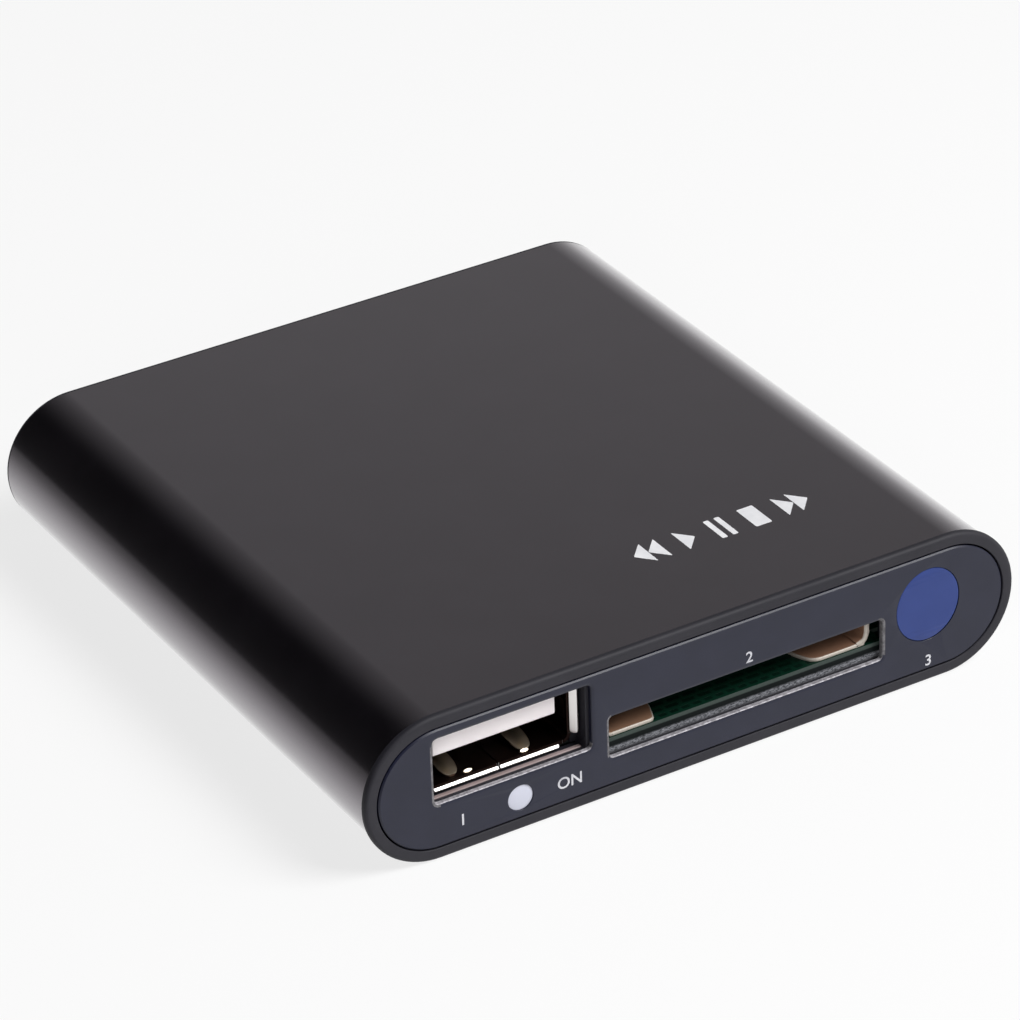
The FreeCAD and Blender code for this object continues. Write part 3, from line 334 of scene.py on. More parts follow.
def new_piece(name, shapes, material, crease=35.0):
    """One object at the origin from closed (points, faces) shapes, with sharp edges from crease degrees."""
    start, points, faces = 0, [], []
    for shape_points, parts in shapes:
        points.append(shape_points)
        faces += [face for part in parts for face in (part + start).tolist()]
        start += len(shape_points)
    mesh = bpy.data.meshes.new(name)
    mesh.from_pydata(np.concatenate(points).tolist(), [], faces)
    mesh.polygons.foreach_set("use_smooth", np.ones(len(mesh.polygons), bool))
    mesh.set_sharp_from_angle(angle=math.radians(crease))
    mesh.materials.append(material)
    piece = placed(name, mesh)
    flatness = piece.modifiers.new("flat_faces_stay_flat", "WEIGHTED_NORMAL")
    flatness.keep_sharp, flatness.weight = True, 90
    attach(piece, "player")
    return piece


# ------------------------------------------------------------------ node helpers
class Shader:
    """A material or node group under construction, with short calls for its nodes."""

    def __init__(self, tree):
        self.tree = tree
        self.nodes = tree.nodes

    def node(self, kind, inputs=(), **settings):
        made = self.nodes.new(kind)
        for key, value in settings.items():
            setattr(made, key, value)
        for key, value in dict(inputs).items():
            self.feed(made.inputs[key], value)
        return made

    def feed(self, socket, value):
        """Links another node's output to the socket, or sets it; a colour is given without its alpha."""
        if isinstance(value, bpy.types.NodeSocket):
            self.tree.links.new(value, socket)
        else:
            socket.default_value = (*value, 1.0) if socket.type == "RGBA" else value

    def math(self, operation, a, b=0.0, clamp=False):
        return self.node("ShaderNodeMath", {0: a, 1: b}, operation=operation, use_clamp=clamp).outputs[0]

    def noise(self, vector, scale, detail=2.0, rough=0.5):
        values = {"Vector": vector, "Scale": scale, "Detail": detail, "Roughness": rough}
        return self.node("ShaderNodeTexNoise", values).outputs["Fac"]

    def ramp(self, value, low, high, to_low=0.0, to_high=1.0, smooth=True):
        kind = "SMOOTHSTEP" if smooth else "LINEAR"
        values = {"Value": value, "From Min": low, "From Max": high, "To Min": to_low, "To Max": to_high}
        return self.node("ShaderNodeMapRange", values, interpolation_type=kind).outputs["Result"]

    def mix(self, share, a, b):
        made = self.node("ShaderNodeMix", data_type="RGBA")
        self.feed(made.inputs["Factor"], share)
        self.feed(made.inputs["A"], a)
        self.feed(made.inputs["B"], b)
        return made.outputs["Result"]

    def bump(self, height, distance):
        values = {"Height": height, "Distance": distance, "Strength": 1.0}
        return self.node("ShaderNodeBump", values).outputs["Normal"]


def new_group(name, inputs, outputs):
    """An empty shader node group; inputs and outputs map a socket's name to its kind."""
    group = bpy.data.node_groups.new(name, "ShaderNodeTree")
    for direction, sockets in (("INPUT", inputs), ("OUTPUT", outputs)):
        for socket, kind in sockets.items():
            group.interface.new_socket(socket, in_out=direction, socket_type="NodeSocket" + kind)
    shader = Shader(group)
    return group, shader, shader.node("NodeGroupInput").outputs, shader.node("NodeGroupOutput").inputs


def use_group(shader, group, inputs):
    made = shader.node("ShaderNodeGroup", node_tree=group)
    for key, value in inputs.items():
        shader.feed(made.inputs[key], value)
    return made.outputs


# ------------------------------------------------------------------ shared effects
def make_grain():
    """Fine grain: noise at the stated size gives a height, and a slower noise varies its strength."""
    group, shader, given, result = new_group(
        "fine_grain", {"Vector": "Vector", "Size": "Float"}, {"Height": "Float", "Patch": "Float"})
    scale = shader.math("DIVIDE", 1.0, given["Size"])
    fine = shader.noise(given["Vector"], scale, 3.0, 0.6)
    patch = shader.noise(given["Vector"], shader.math("MULTIPLY", scale, 0.04), 3.0, 0.55)
    shader.feed(result["Height"], fine)
    shader.feed(result["Patch"], shader.ramp(patch, 0.35, 0.68))
    return group


def make_handling():
    """Traces of handling: soft smudges, and sparse dust as the tips of a fine noise."""
    group, shader, given, result = new_group(
        "handling", {"Vector": "Vector"}, {"Smudge": "Float", "Dust": "Float"})
    wide = shader.noise(given["Vector"], 70.0, 4.0, 0.62)
    dust = shader.noise(given["Vector"], 5200.0, 1.0, 0.5)
    shader.feed(result["Smudge"], shader.ramp(wide, 0.46, 0.72))
    shader.feed(result["Dust"], shader.ramp(dust, 0.76, 0.82))
    return group


GRAIN = make_grain()
HANDLING = make_handling()


def new_material(name, **constants):
    """A material with a Principled BSDF whose constant sockets are set by name."""
    material = bpy.data.materials.new(name)
    material.use_nodes = True
    shader = Shader(material.node_tree)
    surface = material.node_tree.nodes["Principled BSDF"]
    for key, value in constants.items():
        surface.inputs[key.replace("_", " ")].default_value = value
    place = shader.node("ShaderNodeTexCoord").outputs["Object"]
    return material, shader, surface.inputs, place


def finish(shader, surface, colour, rough, height, distance):
    """Joins a colour, a roughness and a relief of the stated distance in metres to the surface."""
    shader.feed(surface["Base Color"], colour)
    shader.feed(surface["Roughness"], rough)
    shader.feed(surface["Normal"], shader.bump(height, distance))


def textured(name, base, other, rough, rough_spread, grain, height, **constants):
    """A finish of two close colours in patches, with grain of the stated size and height in metres."""
    material, shader, surface, place = new_material(name, **constants)
    effect = use_group(shader, GRAIN, {"Vector": place, "Size": grain})
    worn = use_group(shader, HANDLING, {"Vector": place})
    tone = shader.mix(effect["Patch"], base, other)
    pale = tuple(min(1.0, value * 1.3 + 0.03) for value in base)
    dusty = shader.math("MULTIPLY", worn["Dust"], 0.25)
    smudge = shader.math("MULTIPLY", worn["Smudge"], rough_spread)
    finish(shader, surface, shader.mix(dusty, tone, pale), shader.math("ADD", smudge, rough),
           effect["Height"], height)
    return material


# ------------------------------------------------------------------ finishes
ANODISED = textured("anodised_black", (0.0040, 0.0034, 0.0046), (0.0056, 0.0048, 0.0064), 0.18, 0.04,
                    0.00018, 0.000001, IOR=2.2, Specular_Tint=(1.0, 0.86, 1.0, 1.0), Coat_Weight=1.0,
                    Coat_Roughness=0.14)
MOULDED = textured("moulded_black", (0.0140, 0.0134, 0.0190), (0.0175, 0.0165, 0.0225), 0.64, 0.06, 0.00014,
                   0.000004, IOR=1.44)
PLATE = textured("satin_plate", (0.0060, 0.0072, 0.0205), (0.0080, 0.0092, 0.0240), 0.38, 0.06, 0.00012,
                 0.000003, IOR=1.46)
BLUE = textured("blue_filter", (0.010, 0.030, 0.160), (0.014, 0.036, 0.180), 0.34, 0.05, 0.0002, 0.000001,
                IOR=1.45)
SPRING_STEEL = textured("spring_steel", (0.58, 0.56, 0.54), (0.48, 0.46, 0.44), 0.24, 0.10, 0.0003,
                        0.000002, Metallic=1.0)
WHITE_NYLON = textured("white_nylon", (0.93, 0.87, 0.88), (0.88, 0.82, 0.83), 0.42, 0.08, 0.0002, 0.000004,
                       IOR=1.53)
BLACK_STEEL = textured("black_steel", (0.060, 0.058, 0.060), (0.090, 0.088, 0.090), 0.34, 0.10, 0.0002,
                       0.000004, Metallic=1.0)
PRINT = textured("white_print", (0.86, 0.86, 0.88), (0.74, 0.74, 0.77), 0.50, 0.05, 0.0001, 0.000003,
                 IOR=1.5)
LEGEND = textured("legend_print", (0.58, 0.58, 0.61), (0.44, 0.44, 0.48), 0.50, 0.05, 0.0001, 0.000003,
                  IOR=1.5)
USB_SPRING = textured("usb_spring_metal", (0.44, 0.38, 0.29), (0.34, 0.29, 0.22), 0.32, 0.08, 0.0003,
                      0.000002, Metallic=1.0)
# Painted reflection: the ledge's pinkish brown stands in for the socket metal that it mirrors.
LEDGE = textured("ledge_painted_reflection", (0.30, 0.235, 0.235), (0.22, 0.165, 0.16), 0.55, 0.08, 0.0003, 0.000004,
                 IOR=1.5)


def facing_share(shader, axis, low, high):
    """1 where the surface faces along the object's axis (0 x, 1 y, 2 z), 0 where it lies across it."""
    normal = shader.node("ShaderNodeTexCoord").outputs["Normal"]
    part = shader.node("ShaderNodeSeparateXYZ", {0: normal}).outputs[axis]
    return shader.ramp(shader.math("ABSOLUTE", part), low, high)


def bare_edge_finish():
    """Sheared sheet: dull metal with burrs drawn out along the cut; faces that point up or down are painted
    lighter, a painted light from above.
    """
    material, shader, surface, place = new_material("sheared_edge", Metallic=0.15)
    burr = shader.ramp(shader.noise(place, 2600.0, 3.0, 0.65), 0.36, 0.62)
    # Painted light: level is 1 where the cut faces up or down, and lifts both tones there as if lit from
    # above.
    level = facing_share(shader, 2, 0.35, 0.75)
    dark = shader.mix(level, (0.085, 0.082, 0.088), (0.21, 0.20, 0.217))
    pale = shader.mix(level, (0.16, 0.155, 0.165), (0.40, 0.385, 0.415))
    rough = shader.ramp(burr, 0.0, 1.0, 0.56, 0.46)
    finish(shader, surface, shader.mix(burr, dark, pale), rough, burr, 0.000004)
    return material


def card_metal_finish(name, axis, low, high, inverted):
    """Bright cut edges round faces painted brown, a painted reflection of their dark surroundings: those
    along the axis, or across it if inverted.
    """
    material, shader, surface, place = new_material(name)
    effect = use_group(shader, GRAIN, {"Vector": place, "Size": 0.0005})
    face = facing_share(shader, axis, low, high)
    if inverted:
        face = shader.math("SUBTRACT", 1.0, face)
    # Painted reflection: the faces' brown stands in for the dark surroundings that they mirror.
    painted_brown = shader.mix(effect["Patch"], (0.31, 0.175, 0.11), (0.26, 0.14, 0.09))
    shader.feed(surface["Metallic"], shader.ramp(face, 0.0, 1.0, 0.35, 0.25))
    finish(shader, surface, shader.mix(face, (0.42, 0.38, 0.335), painted_brown),
           shader.ramp(face, 0.0, 1.0, 0.52, 0.36), effect["Height"], 0.000003)
    return material


def usb_metal_finish():
    """Plated sheet, bright where it slants to the mouth and painted nearly black elsewhere, a painted shade
    of the socket's inside.
    """
    material, shader, surface, place = new_material("usb_socket_metal", Metallic=1.0)
    effect = use_group(shader, GRAIN, {"Vector": place, "Size": 0.0005})
    # worn picks the slanted faces, which keep bright plating; every other face gets the painted shade
    # below.
    slant = facing_share(shader, 1, 0.25, 0.45)
    square = facing_share(shader, 1, 0.90, 0.98)
    worn = shader.math("SUBTRACT", slant, square, clamp=True)
    # Painted shade: a nearly black brown for all faces but the slants, standing in for the shade inside the
    # socket.
    painted_brown = shader.mix(effect["Patch"], (0.034, 0.020, 0.017), (0.020, 0.011, 0.010))
    finish(shader, surface, shader.mix(worn, painted_brown, (0.98, 0.95, 0.93)),
           shader.ramp(worn, 0.0, 1.0, 0.40, 0.45), effect["Height"], 0.000003)
    return material


def board_finish():
    """Solder mask over weave and lighter tracks; the cut edge is streaked laminate under dark resin."""
    material, shader, surface, place = new_material("board_green", IOR=1.22)
    effect = use_group(shader, GRAIN, {"Vector": place, "Size": 0.0002})
    waves = []
    for turn in (0.0, math.pi / 2):
        along = shader.node("ShaderNodeMapping", {"Vector": place, "Rotation": (0, 0, turn)}).outputs[0]
        values = {"Vector": along, "Scale": 900.0, "Distortion": 0.6}
        waves.append(shader.node("ShaderNodeTexWave", values).outputs["Fac"])
    weave = shader.math("MULTIPLY", waves[0], waves[1])
    tracks = shader.node("ShaderNodeTexBrick", {"Vector": place, "Scale": 330.0, "Mortar Size": 0.06},
                         offset=0.37, squash=0.7, squash_frequency=3).outputs["Fac"]
    mask = shader.mix(effect["Patch"], (0.0014, 0.009, 0.0055), (0.002, 0.012, 0.007))
    mask = shader.mix(tracks, mask, (0.003, 0.021, 0.012))
    stretched = shader.node("ShaderNodeMapping", {"Vector": place, "Scale": (0.7, 1, 1.8)}).outputs[0]
    rough = shader.noise(stretched, 5200.0, 4.0, 0.7)
    streaks = shader.ramp(rough, 0.36, 0.64)
    glass = shader.mix(streaks, (0.032, 0.034, 0.038), (0.27, 0.275, 0.30))
    z = shader.node("ShaderNodeSeparateXYZ", {0: place}).outputs[2]
    level = shader.math("DIVIDE", shader.math("SUBTRACT", z, MIDDLE), MM)
    foot = shader.ramp(level, BOARD_BOTTOM - 0.25, BOARD_BOTTOM)
    edge = shader.mix(foot, (0.055, 0.055, 0.062), glass)
    resin = shader.ramp(level, BOARD_TOP - 1.02, BOARD_TOP - 0.75)
    edge = shader.mix(resin, edge, (0.003, 0.005, 0.005))
    rim = shader.ramp(level, BOARD_TOP - 0.42, BOARD_TOP - 0.28)
    edge = shader.mix(rim, edge, (0.046, 0.060, 0.054))
    face = facing_share(shader, 2, 0.55, 0.8)
    height = shader.math("ADD", shader.math("MULTIPLY", weave, 0.3), tracks)
    height = shader.math("ADD", shader.math("MULTIPLY", height, face), rough)
    finish(shader, surface, shader.mix(face, edge, mask), shader.ramp(face, 0.0, 1.0, 0.62, 0.34),
           height, 0.000012)
    return material


def lens_finish():
    """Milky acrylic that passes some of the lamp's light."""
    material, shader, surface, place = new_material(
        "milky_acrylic", Roughness=0.25, IOR=1.49, Emission_Strength=0.08)
    worn = use_group(shader, HANDLING, {"Vector": place})
    tone = shader.mix(worn["Smudge"], (0.50, 0.51, 0.59), (0.46, 0.47, 0.56))
    shader.feed(surface["Base Color"], tone)
    shader.feed(surface["Emission Color"], tone)
    return material


BARE_EDGE = bare_edge_finish()
CARD_METAL = card_metal_finish("card_floor_metal", 2, 0.94, 0.995, False)
CARD_WALL_METAL = card_metal_finish("card_wall_metal", 1, 0.25, 0.6, True)
USB_METAL = usb_metal_finish()
BOARD = board_finish()
LENS = lens_finish()


def dress(nodes, material):
    """Gives the material to the solids of the listed nodes."""
    for name in nodes.split():
        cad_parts[name].material_slots[0].material = material


# The solids' finishes: first those that only solids have, then those that the pieces below share.
METAL = {"Metallic": 1.0}
for nodes, *looks, sockets in (
        ("usb_shell hdmi_shell", "nickel_sheet",
         (0.80, 0.75, 0.72), (0.72, 0.66, 0.62), 0.17, 0.10, 0.0006, 0.000003, METAL),
        ("flash_leads regulator_leads ir_receiver_leads power_jack_pin", "tinned",
         (0.70, 0.69, 0.66), (0.60, 0.59, 0.56), 0.30, 0.10, 0.0002, 0.000004, METAL),
        ("usb_contacts card_contacts hdmi_contacts", "gold_flash",
         (0.83, 0.62, 0.28), (0.74, 0.52, 0.22), 0.22, 0.08, 0.0002, 0.000001, METAL),
        ("card_slider", "ivory_acetal",
         (0.62, 0.58, 0.50), (0.56, 0.52, 0.45), 0.36, 0.08, 0.0002, 0.000003, {"IOR": 1.48}),
        ("card_socket_frame hdmi_insulator av_jack_body power_jack_body capacitor_bases", "socket_black",
         (0.018, 0.018, 0.020), (0.026, 0.026, 0.028), 0.42, 0.08, 0.0002, 0.000005, {"IOR": 1.55}),
        ("video_processor memory_chips flash_chip voltage_regulators power_inductors ir_receiver_body",
         "package_epoxy",
         (0.014, 0.014, 0.015), (0.022, 0.022, 0.023), 0.48, 0.06, 0.00009, 0.000006, {"IOR": 1.55}),
        ("insulating_sheet", "amber_film",
         (0.50, 0.27, 0.05), (0.42, 0.22, 0.04), 0.22, 0.10, 0.0008, 0.000006, {"IOR": 1.6}),
        ("capacitor_cans clock_crystal", "bright_can",
         (0.74, 0.74, 0.76), (0.66, 0.66, 0.68), 0.25, 0.10, 0.0003, 0.000003, METAL),
        ("heat_sink", "black_fins",
         (0.020, 0.019, 0.021), (0.028, 0.027, 0.029), 0.36, 0.08, 0.0002, 0.000003, {"IOR": 1.8}),
        ("small_passives", "fired_ceramic",
         (0.32, 0.24, 0.17), (0.22, 0.17, 0.13), 0.40, 0.10, 0.0004, 0.000004, {"IOR": 1.6})):
    dress(nodes, textured(*looks, **sockets))
for nodes, material in (
        ("housing_sleeve", ANODISED),
        ("front_bezel rear_bezel", MOULDED),
        ("front_plate rear_plate", PLATE),
        ("ir_window", BLUE),
        ("lamp_light_pipe power_led", LENS),
        ("main_board", BOARD),
        ("card_socket_shell", CARD_METAL),
        ("slider_spring cam_pin pin_leaf av_jack_contacts power_jack_contact", SPRING_STEEL),
        ("usb_insulator", WHITE_NYLON),
        ("rear_screws", BLACK_STEEL)):
    dress(nodes, material)


# ------------------------------------------------------------------ housing
def sleeve():
    """Tube carried round the housing's outline, with board guides and screw channels inside it."""
    front, back, inner = RIM_THICK, DEPTH - REAR_RIM_THICK, RIM_PROUD + SLEEVE_WALL
    nose = corner_round(RIM_PROUD, front, 0.06, 4)
    tail = nose[::-1] * (1, -1) + (0, front + back)
    mouths = [(inner, back - MOUTH_CHAMFER), (inner, front + MOUTH_CHAMFER)]
    lips = [(inner - MOUTH_CHAMFER, back), (inner - MOUTH_CHAMFER, front)]
    profile = [*nose, *tail, lips[0], *mouths, lips[1]]
    shapes = [ring_of(capsule(), profile, facing_front)]
    edge = rounding(WEB_BACK + FIT_GAP, DEPTH - WEB_BACK - FIT_GAP, 0.05, 0.05, 3)
    guide_reach, guide_root, guide_thick, boss_radius = 26.4, 28.4, 0.7, 1.85
    for side in (-1, 1):
        a0, a1 = sorted((side * guide_reach, side * guide_root))
        for h in (BOARD_BOTTOM - guide_thick, BOARD_TOP + FIT_GAP):
            shapes.append(block((a0, a1, h, h + guide_thick), 0.1, edge, facing_front))
        boss = circle(side * SCREW_X, SCREW_H, boss_radius)
        bore = circle(side * SCREW_X, SCREW_H, SCREW_RADIUS + 0.05, 24)
        shapes.append(plate_of(boss, [bore], edge, facing_front))
    piece = new_piece("sleeve_extrusion", shapes, ANODISED)
    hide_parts("housing_sleeve")


def rim_profile(start, thick, big):
    """(inset, depth) round a bezel's rim, start mm inside the outline: its nose is two quarter circles."""
    bore, small, steps = PLATE_INSET - PLATE_GROOVE, 0.08, 7
    outer = corner_round(start, RIM_BACK_SET, big, steps)
    inner = corner_round(0, 0, small, steps) * (-1, 1) + (bore, RIM_BACK_SET)
    return [*outer, (start, thick), (bore, thick), *inner[::-1]]


def lip_block(a0, a1, side):
    """A lip behind the web that centres the bezel in the sleeve's flat wall."""
    bore = HEIGHT / 2 - RIM_PROUD - SLEEVE_WALL - FIT_GAP
    h0, h1 = sorted((side * (bore - 0.7), side * bore))
    edge = rounding(WEB_BACK - 0.1, WEB_BACK + 1.8, 0.02, 0.2)
    return block((a0, a1, h0, h1), 0.3, edge, facing_front)


def mirrored(shape):
    """The shape turned half round the upright axis, for the rear end."""
    points, parts = shape
    centre = at(0, DEPTH / 2, 0)
    return (points - centre) * (-1, -1, 1) + centre, parts


def web_plate(holes, lie):
    """The wall behind a face plate, opened by holes."""
    edge = rounding(PLATE_THICK + 0.02, WEB_BACK, 0.04, 0.08)
    return plate_of(capsule(RIM_PROUD + SLEEVE_WALL + FIT_GAP), holes, edge, lie)


def front_moulding():
    """Front bezel: rim, web opened for sockets, filter and light pipe, USB stop, and the sill's rail."""
    x0, x1, _, _ = CARD_WINDOW
    card = rectangle((x0 - 0.4, x1 + 0.8, BOARD_BOTTOM - 0.3, 1.9), 0.2)
    x0, x1, h0, _ = USB_WINDOW
    usb = rectangle((x0 - 0.6, x1 - 0.3, h0 - 0.1, 4.75), (0.3, 0.3, 0.3, 1.6))
    half = LAMP_RADIUS + 0.04
    lamp = rectangle((LAMP_X - half, LAMP_X + half, LAMP_H - half, LAMP_H + half), 0.3)
    holes = [usb, card, lamp, circle(IR_X, IR_H, IR_HALF_WIDTH - 0.4)]
    rim = ring_of(capsule(), rim_profile(0.0, RIM_THICK, RIM_ROUND), facing_front)
    web = web_plate(holes, facing_front)
    stop_edge = rounding(WEB_BACK - 0.05, WEB_BACK + 0.3, 0.03, 0.03)
    stop = block((x1 - 0.95, x1, h0 - 0.05, 4.6), 0.1, stop_edge, facing_front)
    lips = [lip_block(-8.0, 22.0, 1), lip_block(-13.0, 22.0, -1)]
    piece = new_piece("front_end_moulding", [rim, web, stop] + lips, MOULDED)
    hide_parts("front_bezel")
    # The rail takes the ledge's painted reflection of the socket metal.
    rail = block((x0 - 0.5, x1 - 0.4, 0.95, 1.36), 0.15, rounding(h0 - 0.4, h0, 0.05, 0.1), lying)
    new_piece("sill_rail", [rail], LEDGE)


def hdmi_outline(grow):
    """Mouth of the socket: wide above, drawn in below."""
    slant = grow * 0.45
    half = np.array([(5.4 + slant, -2.28 - grow), (5.4 + slant, -1.45 - slant),
                     (7.0 + grow, -0.25 - slant), (7.0 + grow, 2.28 + grow)])
    corners = np.roll(np.concatenate([half, half[::-1] * (-1, 1)]), 1, 0)
    return corners * (-1, 1) + (-HDMI_X, HDMI_H)


def rear_openings(hdmi_grow, jack_grow, screw_radius):
    """Holes of the rear end, drawn as seen from behind."""
    holes = [rounded(hdmi_outline(hdmi_grow)[::-1], 0.25)]
    holes += [circle(-x, h, NOSE_RADIUS + jack_grow) for x, h in ((AV_X, AV_H), (POWER_X, POWER_H))]
    holes += [circle(side * SCREW_X, SCREW_H, screw_radius, 32) for side in (-1, 1)]
    return holes


def rear_moulding():
    """Rear bezel: the front one's rim and web, opened for the three sockets and the screws."""
    web = web_plate(rear_openings(0.65, 0.2, SCREW_RADIUS + 0.03), facing_rear)
    rim = ring_of(capsule(), rim_profile(RIM_PROUD, REAR_RIM_THICK, REAR_RIM_ROUND), facing_front)
    shapes = [mirrored(rim), web]
    shapes += [mirrored(lip_block(-22.0, 22.0, side)) for side in (-1, 1)]
    piece = new_piece("rear_end_moulding", shapes, MOULDED)
    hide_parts("rear_bezel")


def face_edge():
    """(inset, depth) down the face plate's outer edge: a shallow bevel, then wall."""
    front, deep = PLATE_FACE, PLATE_FACE + 0.1
    bevel = [(PLATE_CHAMFER, front), (0.012, deep - 0.01)]
    return bevel + [(0.0, deep), (0.0, PLATE_THICK - 0.03), (0.03, PLATE_THICK)]


def bare_quads(window, loop, sides, low, high):
    """Which quads of a worn edge show metal: its sill, and one or both sides between two heights."""
    x0, x1, sill, _ = window
    x, h = loop.T
    beside = np.any([x < x0 + 0.3, x > x1 - 0.3][:sides], axis=0) & (h > low) & (h < high)
    row = np.arange(len(WORN_STEPS) - 1)[:, None]
    return (row >= 1) & beside | (row >= 3) & (h < sill + 0.3)


def face_plate(name, node, holes, cuts, bare, lie):
    """One end's sheet plate, whose holes have an edge each; bare marks the quads there that show metal."""
    plate = plate_of(capsule(PLATE_INSET), holes, face_edge(), lie, cuts)
    piece = new_piece(name, [plate], PLATE, crease=25)
    piece.data.materials.append(BARE_EDGE)
    outer, *_, front, back = (np.zeros(len(part)) for part in plate[1])
    index = [outer] + [part.ravel() for part in bare] + [front, back]
    piece.data.polygons.foreach_set("material_index", np.concatenate(index).astype(np.int32))
    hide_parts(node)


def face_plates():
    """Both plates: the windows' coined corners and walls are worn bare, other holes are cut crisply."""
    worn = [(inset, PLATE_FACE + depth) for inset, depth in WORN_STEPS]
    crisp = rounding(PLATE_FACE, PLATE_THICK, 0.03, 0.02)
    wall_row = np.arange(len(crisp) - 1) == 3
    usb, card = rectangle(USB_WINDOW, 0.5), rectangle(CARD_WINDOW, 0.4)
    filter_hole = oval(IR_X, IR_H, IR_HALF_WIDTH, IR_HALF_HEIGHT, 64)
    lamp_hole = circle(LAMP_X, LAMP_H, LAMP_RADIUS, 32)
    bare = [bare_quads(USB_WINDOW, usb, 1, USB_WINDOW[2] - 1.0, 4.0),
            bare_quads(CARD_WINDOW, card, 2, CARD_WINDOW[2] + 0.25, 4.0)]
    bare += [np.zeros((len(wall_row), len(hole))) for hole in (filter_hole, lamp_hole)]
    face_plate("front_sheet_plate", "front_plate", [usb, card, filter_hole, lamp_hole],
               [worn, worn, crisp, crisp], bare, facing_front)
    holes = rear_openings(0.45, 0.1, SCREW_HEAD_RADIUS)
    face_plate("rear_sheet_plate", "rear_plate", holes, [crisp] * len(holes),
               [np.repeat(wall_row, len(hole)) for hole in holes], facing_rear)


# ------------------------------------------------------------------ USB socket
def bent_path(points, fixed, order):
    """A smooth path through flat (a, b) points, with the third place fixed; order puts them as x, d, h."""
    flat = smooth_path(points)
    full = np.column_stack([flat, np.full(len(flat), fixed)])
    return full[:, list(order)]


def usb_flat_spring(x, wall, side, rise):
    """Contact spring out of the floor (side 1) or roof (side -1): an arch that narrows to its tip."""
    steps = [(9.6, 0.0, 1.5), (7.4, 0.42, 1.6), (5.4, 0.84, 1.7), (4.3, 1.0, 1.7), (3.4, 0.86, 1.65)]
    steps += [(2.7, 0.56, 1.5), (2.25, 0.34, 1.1), (2.02, 0.24, 0.45)]
    path = smooth_path([(d, wall + side * rise * share, width) for d, share, width in steps])
    middle = np.column_stack([np.full(len(path), x), path[:, :2]])
    return ribbon(middle, (1, 0, 0), path[:, 2], 0.22, 0.45)


def usb_side_spring(wall, side, rise):
    """Contact spring out of a side wall, bent into the mouth in the same way."""
    steps = [(9.6, 0.0), (7.4, 0.42), (5.4, 0.84), (4.2, 1.0), (3.2, 0.78), (2.4, 0.34), (1.95, 0.22)]
    path = bent_path([(wall + side * rise * share, d) for d, share in steps], USB_H, (0, 1, 2))
    return ribbon(path, (0, 0, 1), 1.8, 0.22, 0.45)


def usb_lips():
    """Flat lips that slant out of the mouth on all sides; the lower one is parted by the shell's seam."""
    left, right = USB_X - USB_HALF_WIDTH, USB_X + USB_HALF_WIDTH
    floor, roof = USB_H - USB_HALF_HEIGHT - 0.03, USB_H + USB_HALF_HEIGHT + 0.03
    edge = rounding(0.0, 0.26, 0.07, 0.07)
    below = leaning((0, USB_MOUTH, floor), (1, 0, 0), (0, -1, -1))
    above = leaning((0, USB_MOUTH, roof), (-1, 0, 0), (0, -1, 1))
    beside = leaning((right, USB_MOUTH, 0), (0, 0, 1), (1, -1, 0))
    opposite = leaning((left, USB_MOUTH, 0), (0, 0, -1), (-1, -1, 0))
    lip_left, lip_right, roof_left, side_foot, side_top, side_round = -23.25, -12.0, -22.8, -0.33, 4.2, 0.34
    drawings = [((lip_left, USB_X - SEAM, 0.14, 0.47), (0.1, 0.1, 0.1, 0.2), below),
                ((USB_X + SEAM, lip_right, 0.14, 0.47), (0.1, 0.1, 0.2, 0.1), below),
                ((-lip_right, -roof_left, -0.04, 0.42), (0.1, 0.1, 0.26, 0.26), above),
                ((side_foot, side_top, 0.15, 0.86), side_round, beside),
                ((-side_top, -side_foot, 0.15, 0.86), side_round, opposite)]
    return [block(limits, radii, edge, lie) for limits, radii, lie in drawings]


def usb_tongue():
    """White tongue with a thick rounded nose and ribs between its contacts, on a rear block."""
    x0, x1, bottom, nose = USB_X - 5.55, USB_X + 5.35, USB_H + 0.12, USB_H - 0.16
    top = USB_H + 1.96
    profile = rounded([(1.9, nose), (2.7, nose), (2.7, bottom), (11.3, bottom), (11.3, top), (1.9, top)],
                      (0.25, 0.1, 0.1, 0.1, 0.1, 0.25))
    shapes = [plate_of(profile, [], rounding(x0, x1, 0.07, 0.07), standing)]
    clear, thinnest = 0.56, 0.18
    places = [x0 + 0.55] + [USB_X + step for step in USB_CONTACTS] + [x1 - 0.55]
    rib = (2.6, 11.25, nose + 0.02, bottom + 0.1)
    for a, b in zip(places[:-1], places[1:]):
        if b - a > 2 * clear + thinnest:
            shapes.append(block(rib, 0.05, rounding(a + clear, b - clear, 0.03, 0.03), standing))
    rear = (11.2, 14.68, USB_H - 2.52, USB_H + 2.52)
    shapes.append(block(rear, 0.3, rounding(USB_X - 6.21, USB_X + 6.21, 0.1, 0.1), standing))
    piece = new_piece("usb_tongue", shapes, WHITE_NYLON)
    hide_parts("usb_insulator")


def quarter_bend(a, b, quarter, inner, outer, edge, lie):
    """A quarter tube: the band between two arcs about (a, b), carried along the edge's depth."""
    turn = np.linspace(0, np.pi / 2, 6) + quarter * np.pi / 2
    arc = np.stack([np.cos(turn), np.sin(turn)], -1)
    outline = np.concatenate([arc * outer, arc[::-1] * inner]) + (a, b)
    return plate_of(outline, [], edge, lie)


